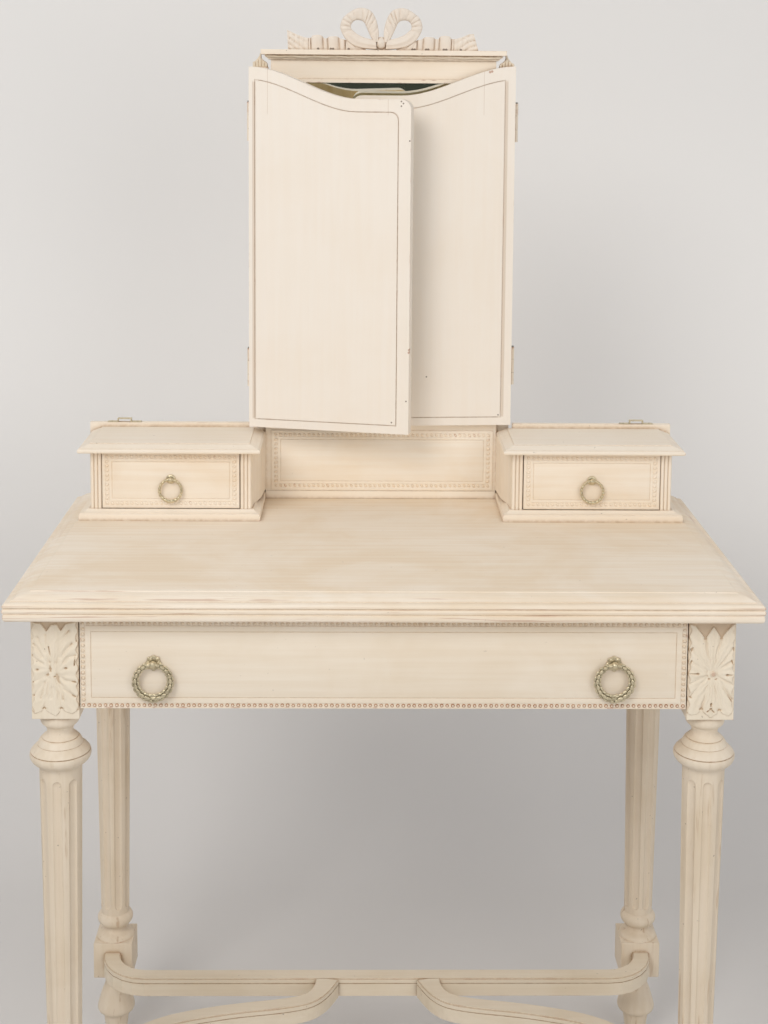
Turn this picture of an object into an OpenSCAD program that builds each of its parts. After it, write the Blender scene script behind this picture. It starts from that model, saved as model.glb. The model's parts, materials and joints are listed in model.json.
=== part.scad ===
// Vanity table with a three-fold mirror. Millimetres, +Z up, front faces -Y.
// Origin: middle of the table's footprint, at floor height.

/* [Table] */
// Width of the top
top_w = 820; // [780:5:900]
// Depth of the top
top_d = 440; // [430:5:480]
// Height of the top above the floor
table_h = 760; // [740:5:800]
// Thickness of the top with its moulded edge
top_t = 27.6; // [24:0.2:30]
// Overhang of the top past the legs, front and sides
overhang = 25; // [18:1:34]
// Overhang of the top past the legs, back
back_overhang = 2; // [0:1:10]
// Width of the moulded band round the top
edge_band = 26; // [22:1:30]

/* [Legs] */
// Side of the square leg blocks
leg_block = 52; // [48:1:56]
// Length of the upper leg block, below the top
upper_block = 116.4; // [110:0.2:124]
// Radius of the big turned ring
bulb_r = 34; // [30:1:37]
// Radius of the fluted shaft at its top
shaft_r_top = 23.5; // [22:0.5:25]
// Radius of the fluted shaft at its foot
shaft_r_low = 18.8; // [17:0.2:21]
// Height of the lower leg block's underside
low_block_z = 98; // [92:1:104]
// Length of the lower leg block
low_block = 49; // [46:1:54]
// Depth of the flutes
flute_depth = 2.4; // [1.6:0.2:3]
// Radius of the flutes' section
flute_r = 7; // [6:0.5:8]

/* [Frame of the table] */
// Height of the aprons
apron_h = 105; // [100:1:110]
// Thickness of the aprons
apron_t = 20; // [16:1:24]
// Set-back of the aprons from the leg faces
apron_setback = 4; // [2:1:6]
// Thickness of the lower front rail
rail_h = 13; // [10:1:14]
// Thickness of the upper front rail
upper_rail_h = 4.5; // [4:0.5:8]
// Depth of the drawer runners
runner_w = 51; // [45:1:56]

/* [Stretcher] */
// Width of the stretcher
str_w = 22; // [18:1:26]
// Height of the stretcher
str_h = 24; // [20:1:28]
// Set-back of the rear bar from the back legs' axes
str_back = 78; // [70:1:90]
// Distance of each arm's root from the middle
arm_root = 67; // [58:1:80]

/* [Wide drawer] */
// Depth of the upper rail behind the drawer front's face
rail_d = 42; // [36:1:50]
// Thickness of the lower rail
low_rail_t = 20; // [16:1:24]
// Thickness of the runners
runner_t = 10; // [8:1:12]
// Height of the guides beside the drawer
guide_h = 14; // [10:1:18]
// Thickness of the drawer front
df_t = 20; // [16:1:22]
// Gap round the drawer front
df_gap = 1.5; // [1:0.25:2.5]
// Thickness of the drawer sides
ds_t = 12; // [10:1:14]
// Depth of the drawer behind its front
ds_len = 325; // [260:5:330]
// Clearance of the drawer on its runners
run_gap = 0.3; // [0.2:0.1:0.6]
// Distance of each ring pull from the leg block beside it
pull_in = 81.5; // [60:0.5:130]
// Drop of the ring pulls' pivots below the top's underside
pull_drop = 52.9; // [48:0.1:58]
// Mean radius of the large rings
ring_R = 19.1; // [17:0.1:20]
// Thickness radius of the large rings
ring_r = 3.2; // [2.6:0.1:3.4]

/* [Small boxes] */
// Distance of each box from the middle, inner side
box_in = 153; // [146:1:160]
// Inset of each box from the end of the top
box_inset = 29; // [26:1:40]
// Depth of the boxes over their moulded bases
box_d = 119.5; // [106:0.5:130]
// Gap between the boxes' backs and the mirror frame's front plane
box_gap = 0.5; // [0.5:0.5:4]
// Height of the boxes' moulded bases
base_h = 12.5; // [11:0.5:14]
// Height of the boxes' carcasses
carc_h = 73.5; // [66:0.5:80]
// Thickness of the lids
lid_t = 11; // [10:0.5:12]
// Inset of the carcass from the base, front and inner side
carc_in = 12; // [10:1:14]
// Inset of the carcass from the base, outer side
carc_out = 13; // [10:1:16]
// Thickness of the carcass sides
side_t = 14; // [12:1:16]
// Height of the strip behind the lid above the lid
strip_up = 5.5; // [4:0.5:6]
// Mean radius of the small rings
sring_R = 15; // [13:0.2:16]
// Thickness radius of the small rings
sring_r = 2.4; // [2:0.1:2.8]
// Drop of the small rings' pivots below the lids
spull_drop = 35.2; // [31:0.1:37]

/* [Mirror] */
// Half width of the mirror frame
mir_hw = 170; // [160:0.5:176]
// Thickness of the mirror frame
mir_t = 22; // [18:0.5:22]
// Height of the wings' undersides above the table top
wing_up = 104; // [103:0.5:112]
// Height of the mirror stiles above the table top
stile_h = 570; // [540:5:600]
// Height of the frieze's top above the stiles
frieze_up = 10; // [6:1:14]
// Half width of the mirror opening
glass_hw = 116; // [108:1:124]
// Height of the lower rail
low_rail_h = 26; // [22:1:30]
// Height of the lower rail's underside above the lids
low_rail_up = 4.5; // [4:0.5:8]
// Depth of the frieze below the tops of the stiles
frieze_drop = 19; // [16:1:24]
// Width of each ear beside the frieze
ear_w = 23.5; // [21:0.5:32]
// Height of the cornice
corn_h = 12.7; // [11:0.1:15]
// Overhang of the cornice past the frieze, at the sides
corn_over = 12.5; // [11:0.5:15]
// Height of the carved bow
bow_h = 55; // [48:1:60]
// Distance of the bow's knot from the middle, to the left
bow_off = 3.4; // [0:0.2:5]

/* [Wings] */
// Width of each wing
wing_w = 211; // [200:1:214]
// Thickness of each wing
wing_t = 18; // [14:0.5:18]
// Drop of the wings' tops from hinge to free edge
wing_drop = 40; // [30:1:48]
// Inset of the left wing from the frame's edge
left_in = 1.8; // [0:0.2:3]
// Inset of the right wing from the frame's edge
right_in = 0.6; // [0:0.2:3]
// How much the right wing's top stands above the left wing's
right_up = 3; // [0:0.5:4]
// How much the right wing's underside hangs below the left wing's
right_down = 1; // [0:0.1:1]
// Gap between a wing and what it is hinged to
leaf_gap = 2.2; // [2:0.1:3]
// Opening of the left wing at rest
left_open = 12.5; // [8:0.5:16]
// Opening of the right wing at rest
right_open = 3; // [3:0.5:7]
// Width of the left wing's hinge stile, outside
left_stile = 7.5; // [6:0.5:14]
// Width of the right wing's hinge stile, outside
right_stile = 13; // [10:1:20]
// Width of the wings' free stile, outside
free_stile = 15.5; // [14:0.5:22]
// Length of the hinges
hinge_l = 50; // [40:1:60]
// Radius of the hinge pins
pin_r = 1.25; // [1:0.05:1.4]

/* [Hidden] */
$fn = 64;
hw = top_w/2;
// the big rings of the back legs may stand out behind the top
bulge = max(0, bulb_r + 0.3 - leg_block/2 - back_overhang);
fy = -(top_d + bulge)/2;
by = fy + top_d;
u_z = table_h - top_t;               // underside of the top
leg_x = hw - overhang - leg_block/2;
leg_fy = fy + overhang + leg_block/2;
leg_by = by - back_overhang - leg_block/2;
face_y = leg_fy - leg_block/2;       // front face of the leg blocks
in_x = leg_x - leg_block/2;          // inner faces of the leg blocks
out_x = leg_x + leg_block/2;
ub_z = u_z - upper_block;            // underside of the upper blocks
ap_z = u_z - apron_h;                // underside of the aprons
sh_top = ub_z - 66;                  // top of the shaft
lb_top = low_block_z + low_block;
sh_low = lb_top + 35;                // foot of the shaft
ap_out = out_x - apron_setback;
ap_in = ap_out - apron_t;
str_y = leg_by - str_back;
str_z = low_block_z + (low_block - str_h)/2;
dr_hw = in_x - df_gap;
dr_z0 = ap_z + 0.5;
dr_z1 = u_z - upper_rail_h - df_gap;
run_z = ap_z + rail_h;               // top of rail and runners
ds_x = in_x - 3.5;                   // outer face of the drawer sides
dz0 = run_z + run_gap;
dz1 = dr_z1 - 2;
pull_x = in_x - pull_in;
pull_z = u_z - pull_drop;
pin_off = 4.2 + 2;                   // ring pivot ahead of the drawer face
rt = table_h;                        // top surface
box_out = hw - box_inset;
frieze_hw = mir_hw - ear_w;
mir_y = by - mir_t;                  // front plane of the mirror frame
box_back = mir_y - box_gap;
box_front = box_back - box_d;
bz = rt + base_h;                    // carcass underside
lz = bz + carc_h;                    // lid underside
ltop = lz + lid_t;
cf = box_front + carc_in;            // carcass front
ci = box_in + carc_in;               // carcass inner face, at its front
co = box_out - carc_out;             // carcass outer face
lid_back = box_back - 11.5;
strip_top = ltop + strip_up;
sd_i = ci + side_t;
sd_o = co - side_t;
sd_x = (sd_i + sd_o)/2;
sp_z = lz - spull_drop;
sp_off = 3.1 + 2;
wz0 = rt + wing_up;
wz1 = rt + stile_h;                  // left wing's top at the hinge
mz1 = rt + stile_h;
fz1 = mz1 + frieze_up;
rb_z = ltop + low_rail_up;           // underside of the mirror's lower rail
gz0 = rb_z + low_rail_h;
gz1 = mz1 - frieze_drop;
cz1 = fz1 + corn_h;
pack = wing_t + leaf_gap;            // left packing
knuckle_r = 2.7;
hx = mir_hw + knuckle_r + 0.5;
hy_r = mir_y - leaf_gap/2;
hy_l = mir_y - pack - leaf_gap/2;
hz = [wz0 + 50, wz1 - 95];

paint = "#e6dac6";
paint2 = "#dccdb4";
raw = "#b79a6c";
brass = "#a8935c";
steel = "#8d8a80";

// ---- helpers
module bx(x0, x1, y0, y1, z0, z1)
    translate([x0, y0, z0]) cube([x1 - x0, y1 - y0, z1 - z0]);
module side(s) { if (s > 0) children(); else mirror([1, 0, 0]) children(); }
module both() { children(); mirror([1, 0, 0]) children(); }
// prism along X from a profile in Y and Z
module along_x(x0, x1, pts)
    translate([x0, 0, 0]) rotate([90, 0, 90]) linear_extrude(x1 - x0) polygon(pts);
// prism along Y from a profile in X and Z
module along_y(y0, y1, pts)
    translate([0, y1, 0]) rotate([90, 0, 0]) linear_extrude(y1 - y0) polygon(pts);

// ---- the moulded top
// inset from the edge and drop from the surface
edge = [[edge_band, 0], [edge_band - 1, -1], [edge_band - 4, -1.4], [18, -2],
    [14, -3.2], [11, -4.6], [9, -5.6], [8.2, -5.8], [8, -6.7], [4.6, -6.9],
    [2, -7.6], [0.6, -9], [0.2, -10.4], [0.7, -11.6], [1.7, -12.3],
    [0.5, -13.3], [0, -15.2], [0.5, -17.3], [1.7, -18.4], [0.9, -19.5],
    [0.7, -22.5], [1.2, -25], [2.6, -26.8], [4.4, -top_t]];
module top_board() color(paint) {
    n = len(edge);
    intersection() {
        along_x(-hw, hw, concat([for (p = edge) [fy + p[0], rt + p[1]]],
            [[by, u_z], [by, rt]]));
        along_y(fy, by, concat([for (p = edge) [-hw + p[0], rt + p[1]]],
            [for (i = [n - 1:-1:0]) [hw - edge[i][0], rt + edge[i][1]]]));
    }
}

// ---- legs
up_prof = [[0, 0], [20.5, 0], [20.5, -4], [20, -8], [18, -11], [16, -12.5],
    [14.8, -16], [14.5, -24], [15.4, -28], [17.2, -31], [18.2, -31.4],
    [20.6, -31.6], [23, -36], [27, -40.5], [bulb_r - 3, -45],
    [bulb_r - 1, -48.4], [bulb_r - 1.2, -49], [bulb_r, -50.5],
    [bulb_r + 0.3, -53], [bulb_r - 1, -57], [bulb_r - 4, -60],
    [shaft_r_top + 3, -62.5], [shaft_r_top + 1, -65], [shaft_r_top, -66]];
low_prof = [[shaft_r_low, 0], [shaft_r_low + 1.6, -1.5], [shaft_r_low + 3.6, -4],
    [shaft_r_low + 5, -8.5], [shaft_r_low + 4.4, -12], [shaft_r_low + 2.2, -15.5],
    [shaft_r_low + 1, -17], [16.2, -18], [15.3, -21], [15.4, -24.2],
    [17.2, -26.5], [21.5, -29], [24.4, -31.6], [leg_block/2 - 0.1, -35], [0, -35]];
foot_prof = [[0, 1], [14, 1], [14, 0.85], [14.6, 0.8], [16.8, 0.74], [20, 0.65],
    [23, 0.55], [25, 0.475], [25.2, 0.44], [23.6, 0.405], [20, 0.38],
    [17.4, 0.37], [17, 0.34], [14.8, 0.16], [13, 0.05], [12, 0], [0, 0]];
// one stopped flute, standing off the shaft's own slope
module flute() {
    r = flute_r;
    l = sh_top - sh_low - 24;
    translate([0, -(shaft_r_low + r - flute_depth), sh_low + 12])
        rotate([atan2(shaft_r_top - shaft_r_low, l), 0, 0])
        rotate([0, 0, 11]) rotate_extrude() polygon([[0, -r], [r*0.5, -r*0.87],
            [r*0.87, -r*0.5], [r, 0], [r, l], [r*0.87, l + r*0.5],
            [r*0.5, l + r*0.87], [0, l + r]]);
}
module leg(flute0) {
    translate([-leg_block/2, -leg_block/2, ub_z])
        cube([leg_block, leg_block, upper_block]);
    translate([-leg_block/2, -leg_block/2, low_block_z])
        cube([leg_block, leg_block, low_block]);
    difference() {
        rotate_extrude() polygon(concat(
            [for (p = up_prof) [p[0], ub_z + p[1]]],
            [for (p = low_prof) [p[0], sh_low + p[1]]]));
        for (k = [0:7]) rotate([0, 0, flute0 + 45*k]) flute();
    }
    rotate_extrude() polygon([for (p = foot_prof) [p[0], p[1]*low_block_z]]);
}
// one carved leaf, tip along +Y of its own plane, base at the origin
module leaf(w, l) polygon([[0, 0], [w*0.32, l*0.12], [w*0.5, l*0.38],
    [w*0.46, l*0.62], [w*0.28, l*0.84], [0, l], [-w*0.28, l*0.84],
    [-w*0.46, l*0.62], [-w*0.5, l*0.38], [-w*0.32, l*0.12]]);
module rosette() {
    c = (ub_z + u_z)/2 + 1;
    l = upper_block/2 - 5;
    translate([0, -leg_block/2 + 2.5, c]) rotate([90, 0, 0]) {
        for (a = [0, 180]) rotate(a) linear_extrude(2.5) leaf(19, l);
        for (a = [34, -34, 146, -146]) rotate(a)
            linear_extrude(2) leaf(16, l*0.62);
        for (a = [72, -72, 108, -108]) rotate(a)
            linear_extrude(1.6) leaf(13, leg_block/2 - 3.4);
        cylinder(h = 3.4, r = 4.5);
    }
}
module front_leg(s) color(paint) side(s) translate([leg_x, leg_fy, 0]) {
    difference() {
        leg(0);
        translate([-leg_block/2 + 2, -leg_block/2 - 1, ub_z + 2])
            cube([leg_block - 4, 3.5, upper_block - 2.5]);
    }
    intersection() {
        rosette();
        translate([-leg_block/2 + 2, -leg_block/2 - 2, ub_z + 2])
            cube([leg_block - 4, 10, upper_block - 2.5]);
    }
}
module back_leg(s) color(paint) side(s) translate([leg_x, leg_by, 0]) leg(22.5);

// ---- aprons, rails, runners
module apron(s) color(paint2) side(s)
    bx(ap_in, ap_out, leg_fy + leg_block/2, leg_by - leg_block/2, ap_z, u_z);
module apron_back() color(paint2)
    bx(-in_x, in_x, leg_by + leg_block/2 - apron_setback - apron_t,
        leg_by + leg_block/2 - apron_setback, ap_z, u_z);
module front_rail_upper() color(paint2)
    bx(-in_x, in_x, face_y + 3, face_y + 3 + rail_d, u_z - upper_rail_h, u_z);
module front_rail_lower() color(paint2)
    bx(-in_x, in_x, face_y + df_t + 1, face_y + df_t + 1 + low_rail_t, ap_z, run_z);
module drawer_runners() color(raw) both() {
    bx(ap_in - runner_w, ap_in, leg_fy + leg_block/2, leg_by - leg_block/2,
        run_z - runner_t, run_z);
    bx(ds_x + 1, ap_in, leg_fy + leg_block/2, leg_by - leg_block/2, run_z, run_z + guide_h);
}
module drawer_kickers() color(raw) both()
    bx(ap_in - runner_w, ap_in, leg_fy + leg_block/2, leg_by - leg_block/2,
        u_z - upper_rail_h, u_z);

// ---- stretcher
function cat(p, i, t) = let (n = len(p) - 1,
    a = p[max(i - 1, 0)], b = p[i], c = p[min(i + 1, n)], d = p[min(i + 2, n)])
    0.5*(2*b + (c - a)*t + (2*a - 5*b + 4*c - d)*t*t + (3*b - a - 3*c + d)*t*t*t);
function smooth(p, k) = [for (i = [0:len(p) - 2]) for (j = [0:k - 1]) cat(p, i, j/k),
    p[len(p) - 1]];
function dirn(p, i) = let (n = len(p) - 1, d = p[min(i + 1, n)] - p[max(i - 1, 0)])
    d/norm(d);
function offs(p, w) = [for (i = [0:len(p) - 1])
    let (d = dirn(p, i)) p[i] + w[i]*[-d[1], d[0]]];
function band(p, w) = concat(offs(p, w), [for (q = [len(p) - 1:-1:0])
    offs(p, -w)[q]]);
// a moulded bar: body, fine groove, bead
module bar(p, w) {
    translate([0, 0, str_z]) linear_extrude(str_h - 7.2) polygon(band(p, w));
    translate([0, 0, str_z + str_h - 7.2]) linear_extrude(1.2)
        polygon(band(p, [for (v = w) v - 0.9]));
    translate([0, 0, str_z + str_h - 6]) linear_extrude(4.6) polygon(band(p, w));
    translate([0, 0, str_z + str_h - 1.4]) linear_extrude(1.4)
        polygon(band(p, [for (v = w) v - 1.2]));
}
str_r = 51;
by_leg = leg_by - leg_block/2;
rear_half = concat([[leg_x, by_leg + 30], [leg_x, str_y + str_r]],
    [for (a = [15:15:75]) [leg_x - str_r + str_r*cos(a), str_y + str_r - str_r*sin(a)]],
    [[leg_x - str_r, str_y]]);
rear_path = concat([for (i = [0:len(rear_half) - 1])
    [-rear_half[i][0], rear_half[i][1]]],
    [for (i = [len(rear_half) - 1:-1:0]) rear_half[i]]);
module stretcher_rear() color(paint) intersection() {
    bar(rear_path, [for (p = rear_path) str_w/2]);
    bx(-hw, hw, 0, by_leg, 0, ub_z);
}
arm_y0 = str_y - str_w/2;
arm_end = leg_fy + leg_block/2;
arm_pts = [[arm_root, arm_y0], [arm_root + 4, arm_y0 - 15],
    [arm_root + 13, arm_y0 - 33], [arm_root + 28, arm_y0 - 46],
    [arm_root + 58, arm_y0 - 55], [arm_root + 103, arm_y0 - 63],
    [arm_root + 143, arm_y0 - 72], [arm_root + 190, arm_y0 - 87],
    [leg_x - 69, arm_y0 - 107], [leg_x - 41, arm_y0 - 135],
    [leg_x - 19, arm_y0 - 171], [leg_x - 5, arm_end + 38], [leg_x, arm_end + 12],
    [leg_x, arm_end]];
arm_path = smooth(arm_pts, 4);
arm_w = [for (i = [0:len(arm_path) - 1])
    str_w/2 + 4.5*pow(max(0, 1 - i/10), 2)];
module arm(s) color(paint) side(s) intersection() {
    bar(arm_path, arm_w);
    bx(0, hw, arm_end, arm_y0, 0, ub_z);
}

// ---- small boxes on the top
base_prof = [[0, 0], [0, 7.6], [0.8, 8.2], [0.8, 9], [3.5, 9.3], [7, 10.4],
    [9.5, 12], [10, base_h]];
module box_base(s) color(paint) side(s) {
    n = len(base_prof);
    intersection() {
        along_x(box_in, box_out, concat(
            [for (p = base_prof) [box_front + p[0], rt + p[1]]],
            [[box_back, bz], [box_back, rt]]));
        along_y(box_front, box_back, concat(
            [for (p = base_prof) [box_in + p[0]*0.9, rt + p[1]]],
            [for (i = [n - 1:-1:0]) [box_out - base_prof[i][0],
                rt + base_prof[i][1]]]));
    }
}
module reeds(x0, x1, y) for (k = [0:2])
    translate([x0 + (x1 - x0)*(k + 0.5)/3, y, bz]) cylinder(h = carc_h, r = 2.1, $fn = 24);
module box_side_outer(s) color(paint) side(s) {
    bx(sd_o, co, cf + 2, box_back, bz, lz);
    intersection() {
        reeds(sd_o, co, cf + 2);
        bx(sd_o, co, cf, cf + 2.5, bz, lz);
    }
}
module box_side_inner(s) color(paint) side(s) {
    translate([0, 0, bz]) linear_extrude(carc_h) polygon([[ci, cf + 2], [sd_i, cf + 2],
        [sd_i, box_back], [box_in, box_back], [box_in, box_back - 10],
        [box_in + 3.2, cf + 55], [ci - 1.5, cf + 24]]);
    intersection() {
        reeds(ci, sd_i, cf + 2);
        bx(ci, sd_i, cf, cf + 2.5, bz, lz);
    }
}
module box_backs() color(paint2) both()
    bx(sd_i, sd_o, box_back - 6, box_back, bz, lz);
lid_prof = [[2.2, 0], [0.6, 0.8], [0, 2], [0, 3.8], [0.8, 5], [2.2, 5.6],
    [2.2, 6.2], [6, 7.2], [10, 8.9], [13, 9.8], [14, 9.9], [14.2, lid_t]];
module box_lid(s) color(paint) side(s) {
    n = len(lid_prof);
    intersection() {
        along_x(box_in, box_out + 1, concat(
            [for (p = lid_prof) [box_front - 2 + p[0], lz + p[1]]],
            [[lid_back, ltop], [lid_back, lz]]));
        along_y(box_front - 2, lid_back, concat(
            [for (p = lid_prof) [box_in + p[0], lz + p[1]]],
            [for (i = [n - 1:-1:0]) [box_out + 1 - lid_prof[i][0],
                lz + lid_prof[i][1]]]));
    }
}
clip_x = box_out - 42;
clip_y = lid_back + 4;
module lid_strips() color(paint) both() difference() {
    bx(mir_hw + 4, box_out + 3, lid_back, lid_back + 8, lz, strip_top);
    for (s = [-1, 1]) translate([clip_x + s*17, clip_y, strip_top - 6.5])
        cylinder(h = 7, r = 1.3, $fn = 24);
}
module lid_clips() color(brass) both() {
    for (s = [-1, 1]) {
        bx(clip_x + s*15 - 7, clip_x + s*15 + 7, clip_y - 3.5, clip_y + 3.5,
            strip_top, strip_top + 0.9);
        bx(clip_x + s*8.6 - 0.6, clip_x + s*8.6 + 0.6, clip_y - 3.5, clip_y + 3.5,
            strip_top, strip_top + 5);
        translate([clip_x + s*17, clip_y, strip_top - 6]) cylinder(h = 7.4, r = 1, $fn = 24);
    }
    bx(clip_x - 9.2, clip_x + 9.2, clip_y - 3.5, clip_y + 3.5,
        strip_top + 4.2, strip_top + 5.1);
}
pan_z1 = rb_z;
pan_y = box_back - 8.5;
module back_panel() color(paint) difference() {
    bx(-box_in, box_in, pan_y, box_back, rt, pan_z1);
    bx(-box_in + 17, box_in - 17, pan_y - 1, pan_y + 1.6, rt + 22, pan_z1 - 20);
    bx(-box_in + 4, box_in - 4, pan_y - 1, pan_y + 0.6, rt + 11.4, pan_z1 - 7);
}

// ---- mirror
reb_z0 = gz0 - 6.5;
reb_z1 = gz1 + 6.5;
module rebate() bx(-glass_hw - 6.5, glass_hw + 6.5, mir_y + 6, mir_y + 17, reb_z0, reb_z1);
module mirror_stiles() color(paint2) difference() {
    both() {
        bx(glass_hw, mir_hw, mir_y, mir_y + mir_t, rt, gz1);
        bx(frieze_hw, mir_hw, mir_y, mir_y + mir_t, gz1, mz1 - 5);
        bx(frieze_hw + 4.2, mir_hw, mir_y, mir_y + mir_t, mz1 - 5, mz1);
    }
    rebate();
}
module mirror_rail_bottom() color(paint2) difference() {
    bx(-glass_hw, glass_hw, mir_y, mir_y + mir_t, rb_z, gz0);
    rebate();
}
module mirror_frieze() color(paint2) difference() {
    bx(-frieze_hw, frieze_hw, mir_y, mir_y + mir_t, gz1, fz1);
    rebate();
}
corn_prof = [[0, 0], [3, 0], [4, 1.2], [4, 2.2], [6, 2.6], [7, 3.6],
    [7.4, 4.4], [7, 5.4], [7, 6], [12, 6.4], [12, corn_h], [0, corn_h]];
module mirror_cornice() color(paint) intersection() {
    along_x(-frieze_hw - corn_over, frieze_hw + corn_over,
        concat([[mir_y + mir_t, fz1]], [for (i = [0:len(corn_prof) - 2])
            [mir_y - corn_prof[i][0], fz1 + corn_prof[i][1]]],
            [[mir_y - 12, cz1], [mir_y + mir_t, cz1]]));
    along_y(mir_y - 13, mir_y + mir_t, concat(
        [for (i = [0:len(corn_prof) - 2])
            [-frieze_hw - corn_prof[i][0]*corn_over/12, fz1 + corn_prof[i][1]]],
        [for (i = [len(corn_prof) - 2:-1:0])
            [frieze_hw + corn_prof[i][0]*corn_over/12, fz1 + corn_prof[i][1]]]));
}
cons_x = frieze_hw + corn_over + 0.3;
cons_out = leaf_gap - 0.8;           // the consoles stay behind the raised wing
module mirror_consoles() color(paint) both()
    along_y(mir_y - cons_out, mir_y + 12, [[mir_hw, mz1], [mir_hw, mz1 + 6.2],
        [mir_hw - 2.9, mz1 + 7.4], [mir_hw - 5.2, mz1 + 9.4],
        [mir_hw - 7, mz1 + 12], [mir_hw - 8.6, mz1 + 14.4], [mir_hw - 9.4, mz1 + 17.4],
        [cons_x, mz1 + 17.4], [cons_x, mz1 + 12.6], [cons_x - 1.2, mz1 + 10.6],
        [frieze_hw + 9.4, mz1 + 8.4], [frieze_hw + 6.4, mz1 + 6.6],
        [frieze_hw + 4.9, mz1 + 4.4], [frieze_hw + 4.4, mz1 + 1.5],
        [frieze_hw + 4.4, mz1]]);
function rrect(x0, x1, z0, z1, r) = concat(
    [for (a = [180:15:270]) [x0 + r + r*cos(a), z0 + r + r*sin(a)]],
    [for (a = [270:15:360]) [x1 - r + r*cos(a), z0 + r + r*sin(a)]],
    [for (a = [0:15:90]) [x1 - r + r*cos(a), z1 - r + r*sin(a)]],
    [for (a = [90:15:180]) [x0 + r + r*cos(a), z1 - r + r*sin(a)]]);
module mirror_bead() color(paint) difference() {
    along_y(mir_y - 1.9, mir_y, rrect(-glass_hw - 4, glass_hw + 4, gz0 - 4, gz1 + 4, 13.5));
    along_y(mir_y - 4, mir_y + 1, rrect(-glass_hw + 0.5, glass_hw - 0.5,
        gz0 + 0.5, gz1 - 0.5, 9));
}
module mirror_glass() color("#4a4f48")
    bx(-glass_hw - 6, glass_hw + 6, mir_y + 6, mir_y + 10, reb_z0 + 0.5, reb_z1 - 0.5);
module mirror_backboard() color(raw)
    bx(-glass_hw - 6, glass_hw + 6, mir_y + 10.1, mir_y + 16, reb_z0 + 0.5, reb_z1 - 0.5);

// ---- carved bow
bow_w = 122.5;
loop_out = [[2, 21], [3.5, 28], [6, 37], [10, 46], [16, bow_h - 2.8],
    [25, bow_h - 0.2], [34, bow_h - 1.8], [43, 47.5], [50, 41], [53.6, 31], [51.5, 23],
    [46, 14], [36, 6], [22, 2], [6, 0.5]];
loop_in = [[12.8, 14.8], [15.5, 21.5], [18.5, 28], [21.3, 34], [26.5, 38.6],
    [33, 38.8], [38, 35.5], [39.4, 29.5], [35.5, 24.3], [29, 19.2], [20, 16]];
tail_pts = [[6, 0], [bow_w - 0.5, 0], [bow_w - 1.5, 8], [bow_w - 3, 12], [bow_w, 24.5],
    [114, 21.5], [107, 18.5], [99, 16], [93, 15.3], [90, 18.3], [81, 19.2],
    [76.5, 17.5], [74, 15], [70.5, 15], [68.5, 17], [56.5, 17.2], [53, 15],
    [50, 13.5], [40, 8], [20, 4]];
crest_y = mir_y + 1;
module mirror_crest() color(paint) translate([-bow_off, 0, cz1]) {
    both() {
        difference() {
            along_y(crest_y, crest_y + 10, smooth(loop_out, 3));
            along_y(crest_y - 1, crest_y + 11, smooth(concat(loop_in, [loop_in[0]]), 3));
        }
        along_y(crest_y + 2, crest_y + 9, tail_pts);
    }
    translate([0, crest_y + 5, 9.5]) rotate([90, 0, 0]) cylinder(h = 14, r = 7.2, center = true);
    bx(-7, 7, crest_y + 1, crest_y + 9, 0, 10);
}

// ---- hinges of the wings
module hinge_packing() color(paint2)
    bx(-mir_hw, -mir_hw + 22, mir_y - pack, mir_y, wz0, wz1 - 6);
module knuckles(x, y, z, own) {
    for (k = own) translate([x, y, z + k[0]])
        cylinder(h = k[1] - k[0], r = knuckle_r);
}
kf = [[0, 15.8], [hinge_l - 15.8, hinge_l]];
kw = [[16.1, hinge_l - 16.1]];
module pin_bore(x, y, z, c) translate([x, y, z - 1]) cylinder(h = hinge_l + 2, r = pin_r + c);
module leaf_f(x, y) for (z = hz) difference() {
    union() {
        bx(x - 21, mir_hw + 0.2, y + 0.1, y + leaf_gap/2, z, z + hinge_l);
        for (k = kf) bx(mir_hw - 1, x, y + 0.1, y + leaf_gap/2, z + k[0], z + k[1]);
        knuckles(x, y, z, kf);
    }
    pin_bore(x, y, z, 0.03);
}
module leaf_w(x, y) for (z = hz) difference() {
    union() {
        bx(x - 21, mir_hw + 0.2, y - leaf_gap/2, y - 0.1, z, z + hinge_l);
        for (k = kw) bx(mir_hw - 1, x, y - leaf_gap/2, y - 0.1, z + k[0], z + k[1]);
        knuckles(x, y, z, kw);
    }
    pin_bore(x, y, z, 0.06);
}
module hinge_leaves_frame() color(brass) {
    leaf_f(hx, hy_r);
    mirror([1, 0, 0]) leaf_f(hx, hy_l);
}
module pins(x, y) for (z = hz) {
    translate([x, y, z]) cylinder(h = hinge_l, r = pin_r);
    translate([x, y, z + hinge_l]) cylinder(h = 1.6, r = 2.2);
}
module hinge_pins() color(steel) {
    pins(hx, hy_r);
    mirror([1, 0, 0]) pins(hx, hy_l);
}

// ---- wings, drawn closed on the right, then turned about their pins
module right_rest() translate([hx, hy_r, 0]) rotate([0, 0, right_open])
    translate([-hx, -hy_r, 0]) children();
module left_rest() mirror([1, 0, 0]) translate([hx, hy_l, 0])
    rotate([0, 0, left_open]) translate([-hx, -hy_l, 0]) children();
function sstep(t) = t <= 0 ? 0 : (t >= 1 ? 1 : t*t*(3 - 2*t));
// i is 0 for the left wing, 1 for the right one
function drop(i) = wing_drop - 1.5*i;
function sweep(i) = wing_w*(0.67 + 0.025*i);
function w_edge(i) = mir_hw - (i == 0 ? left_in : right_in);
function w_lo(i) = wz0 - i*right_down;
function w_hi(i) = wz1 + i*right_up;
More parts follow.
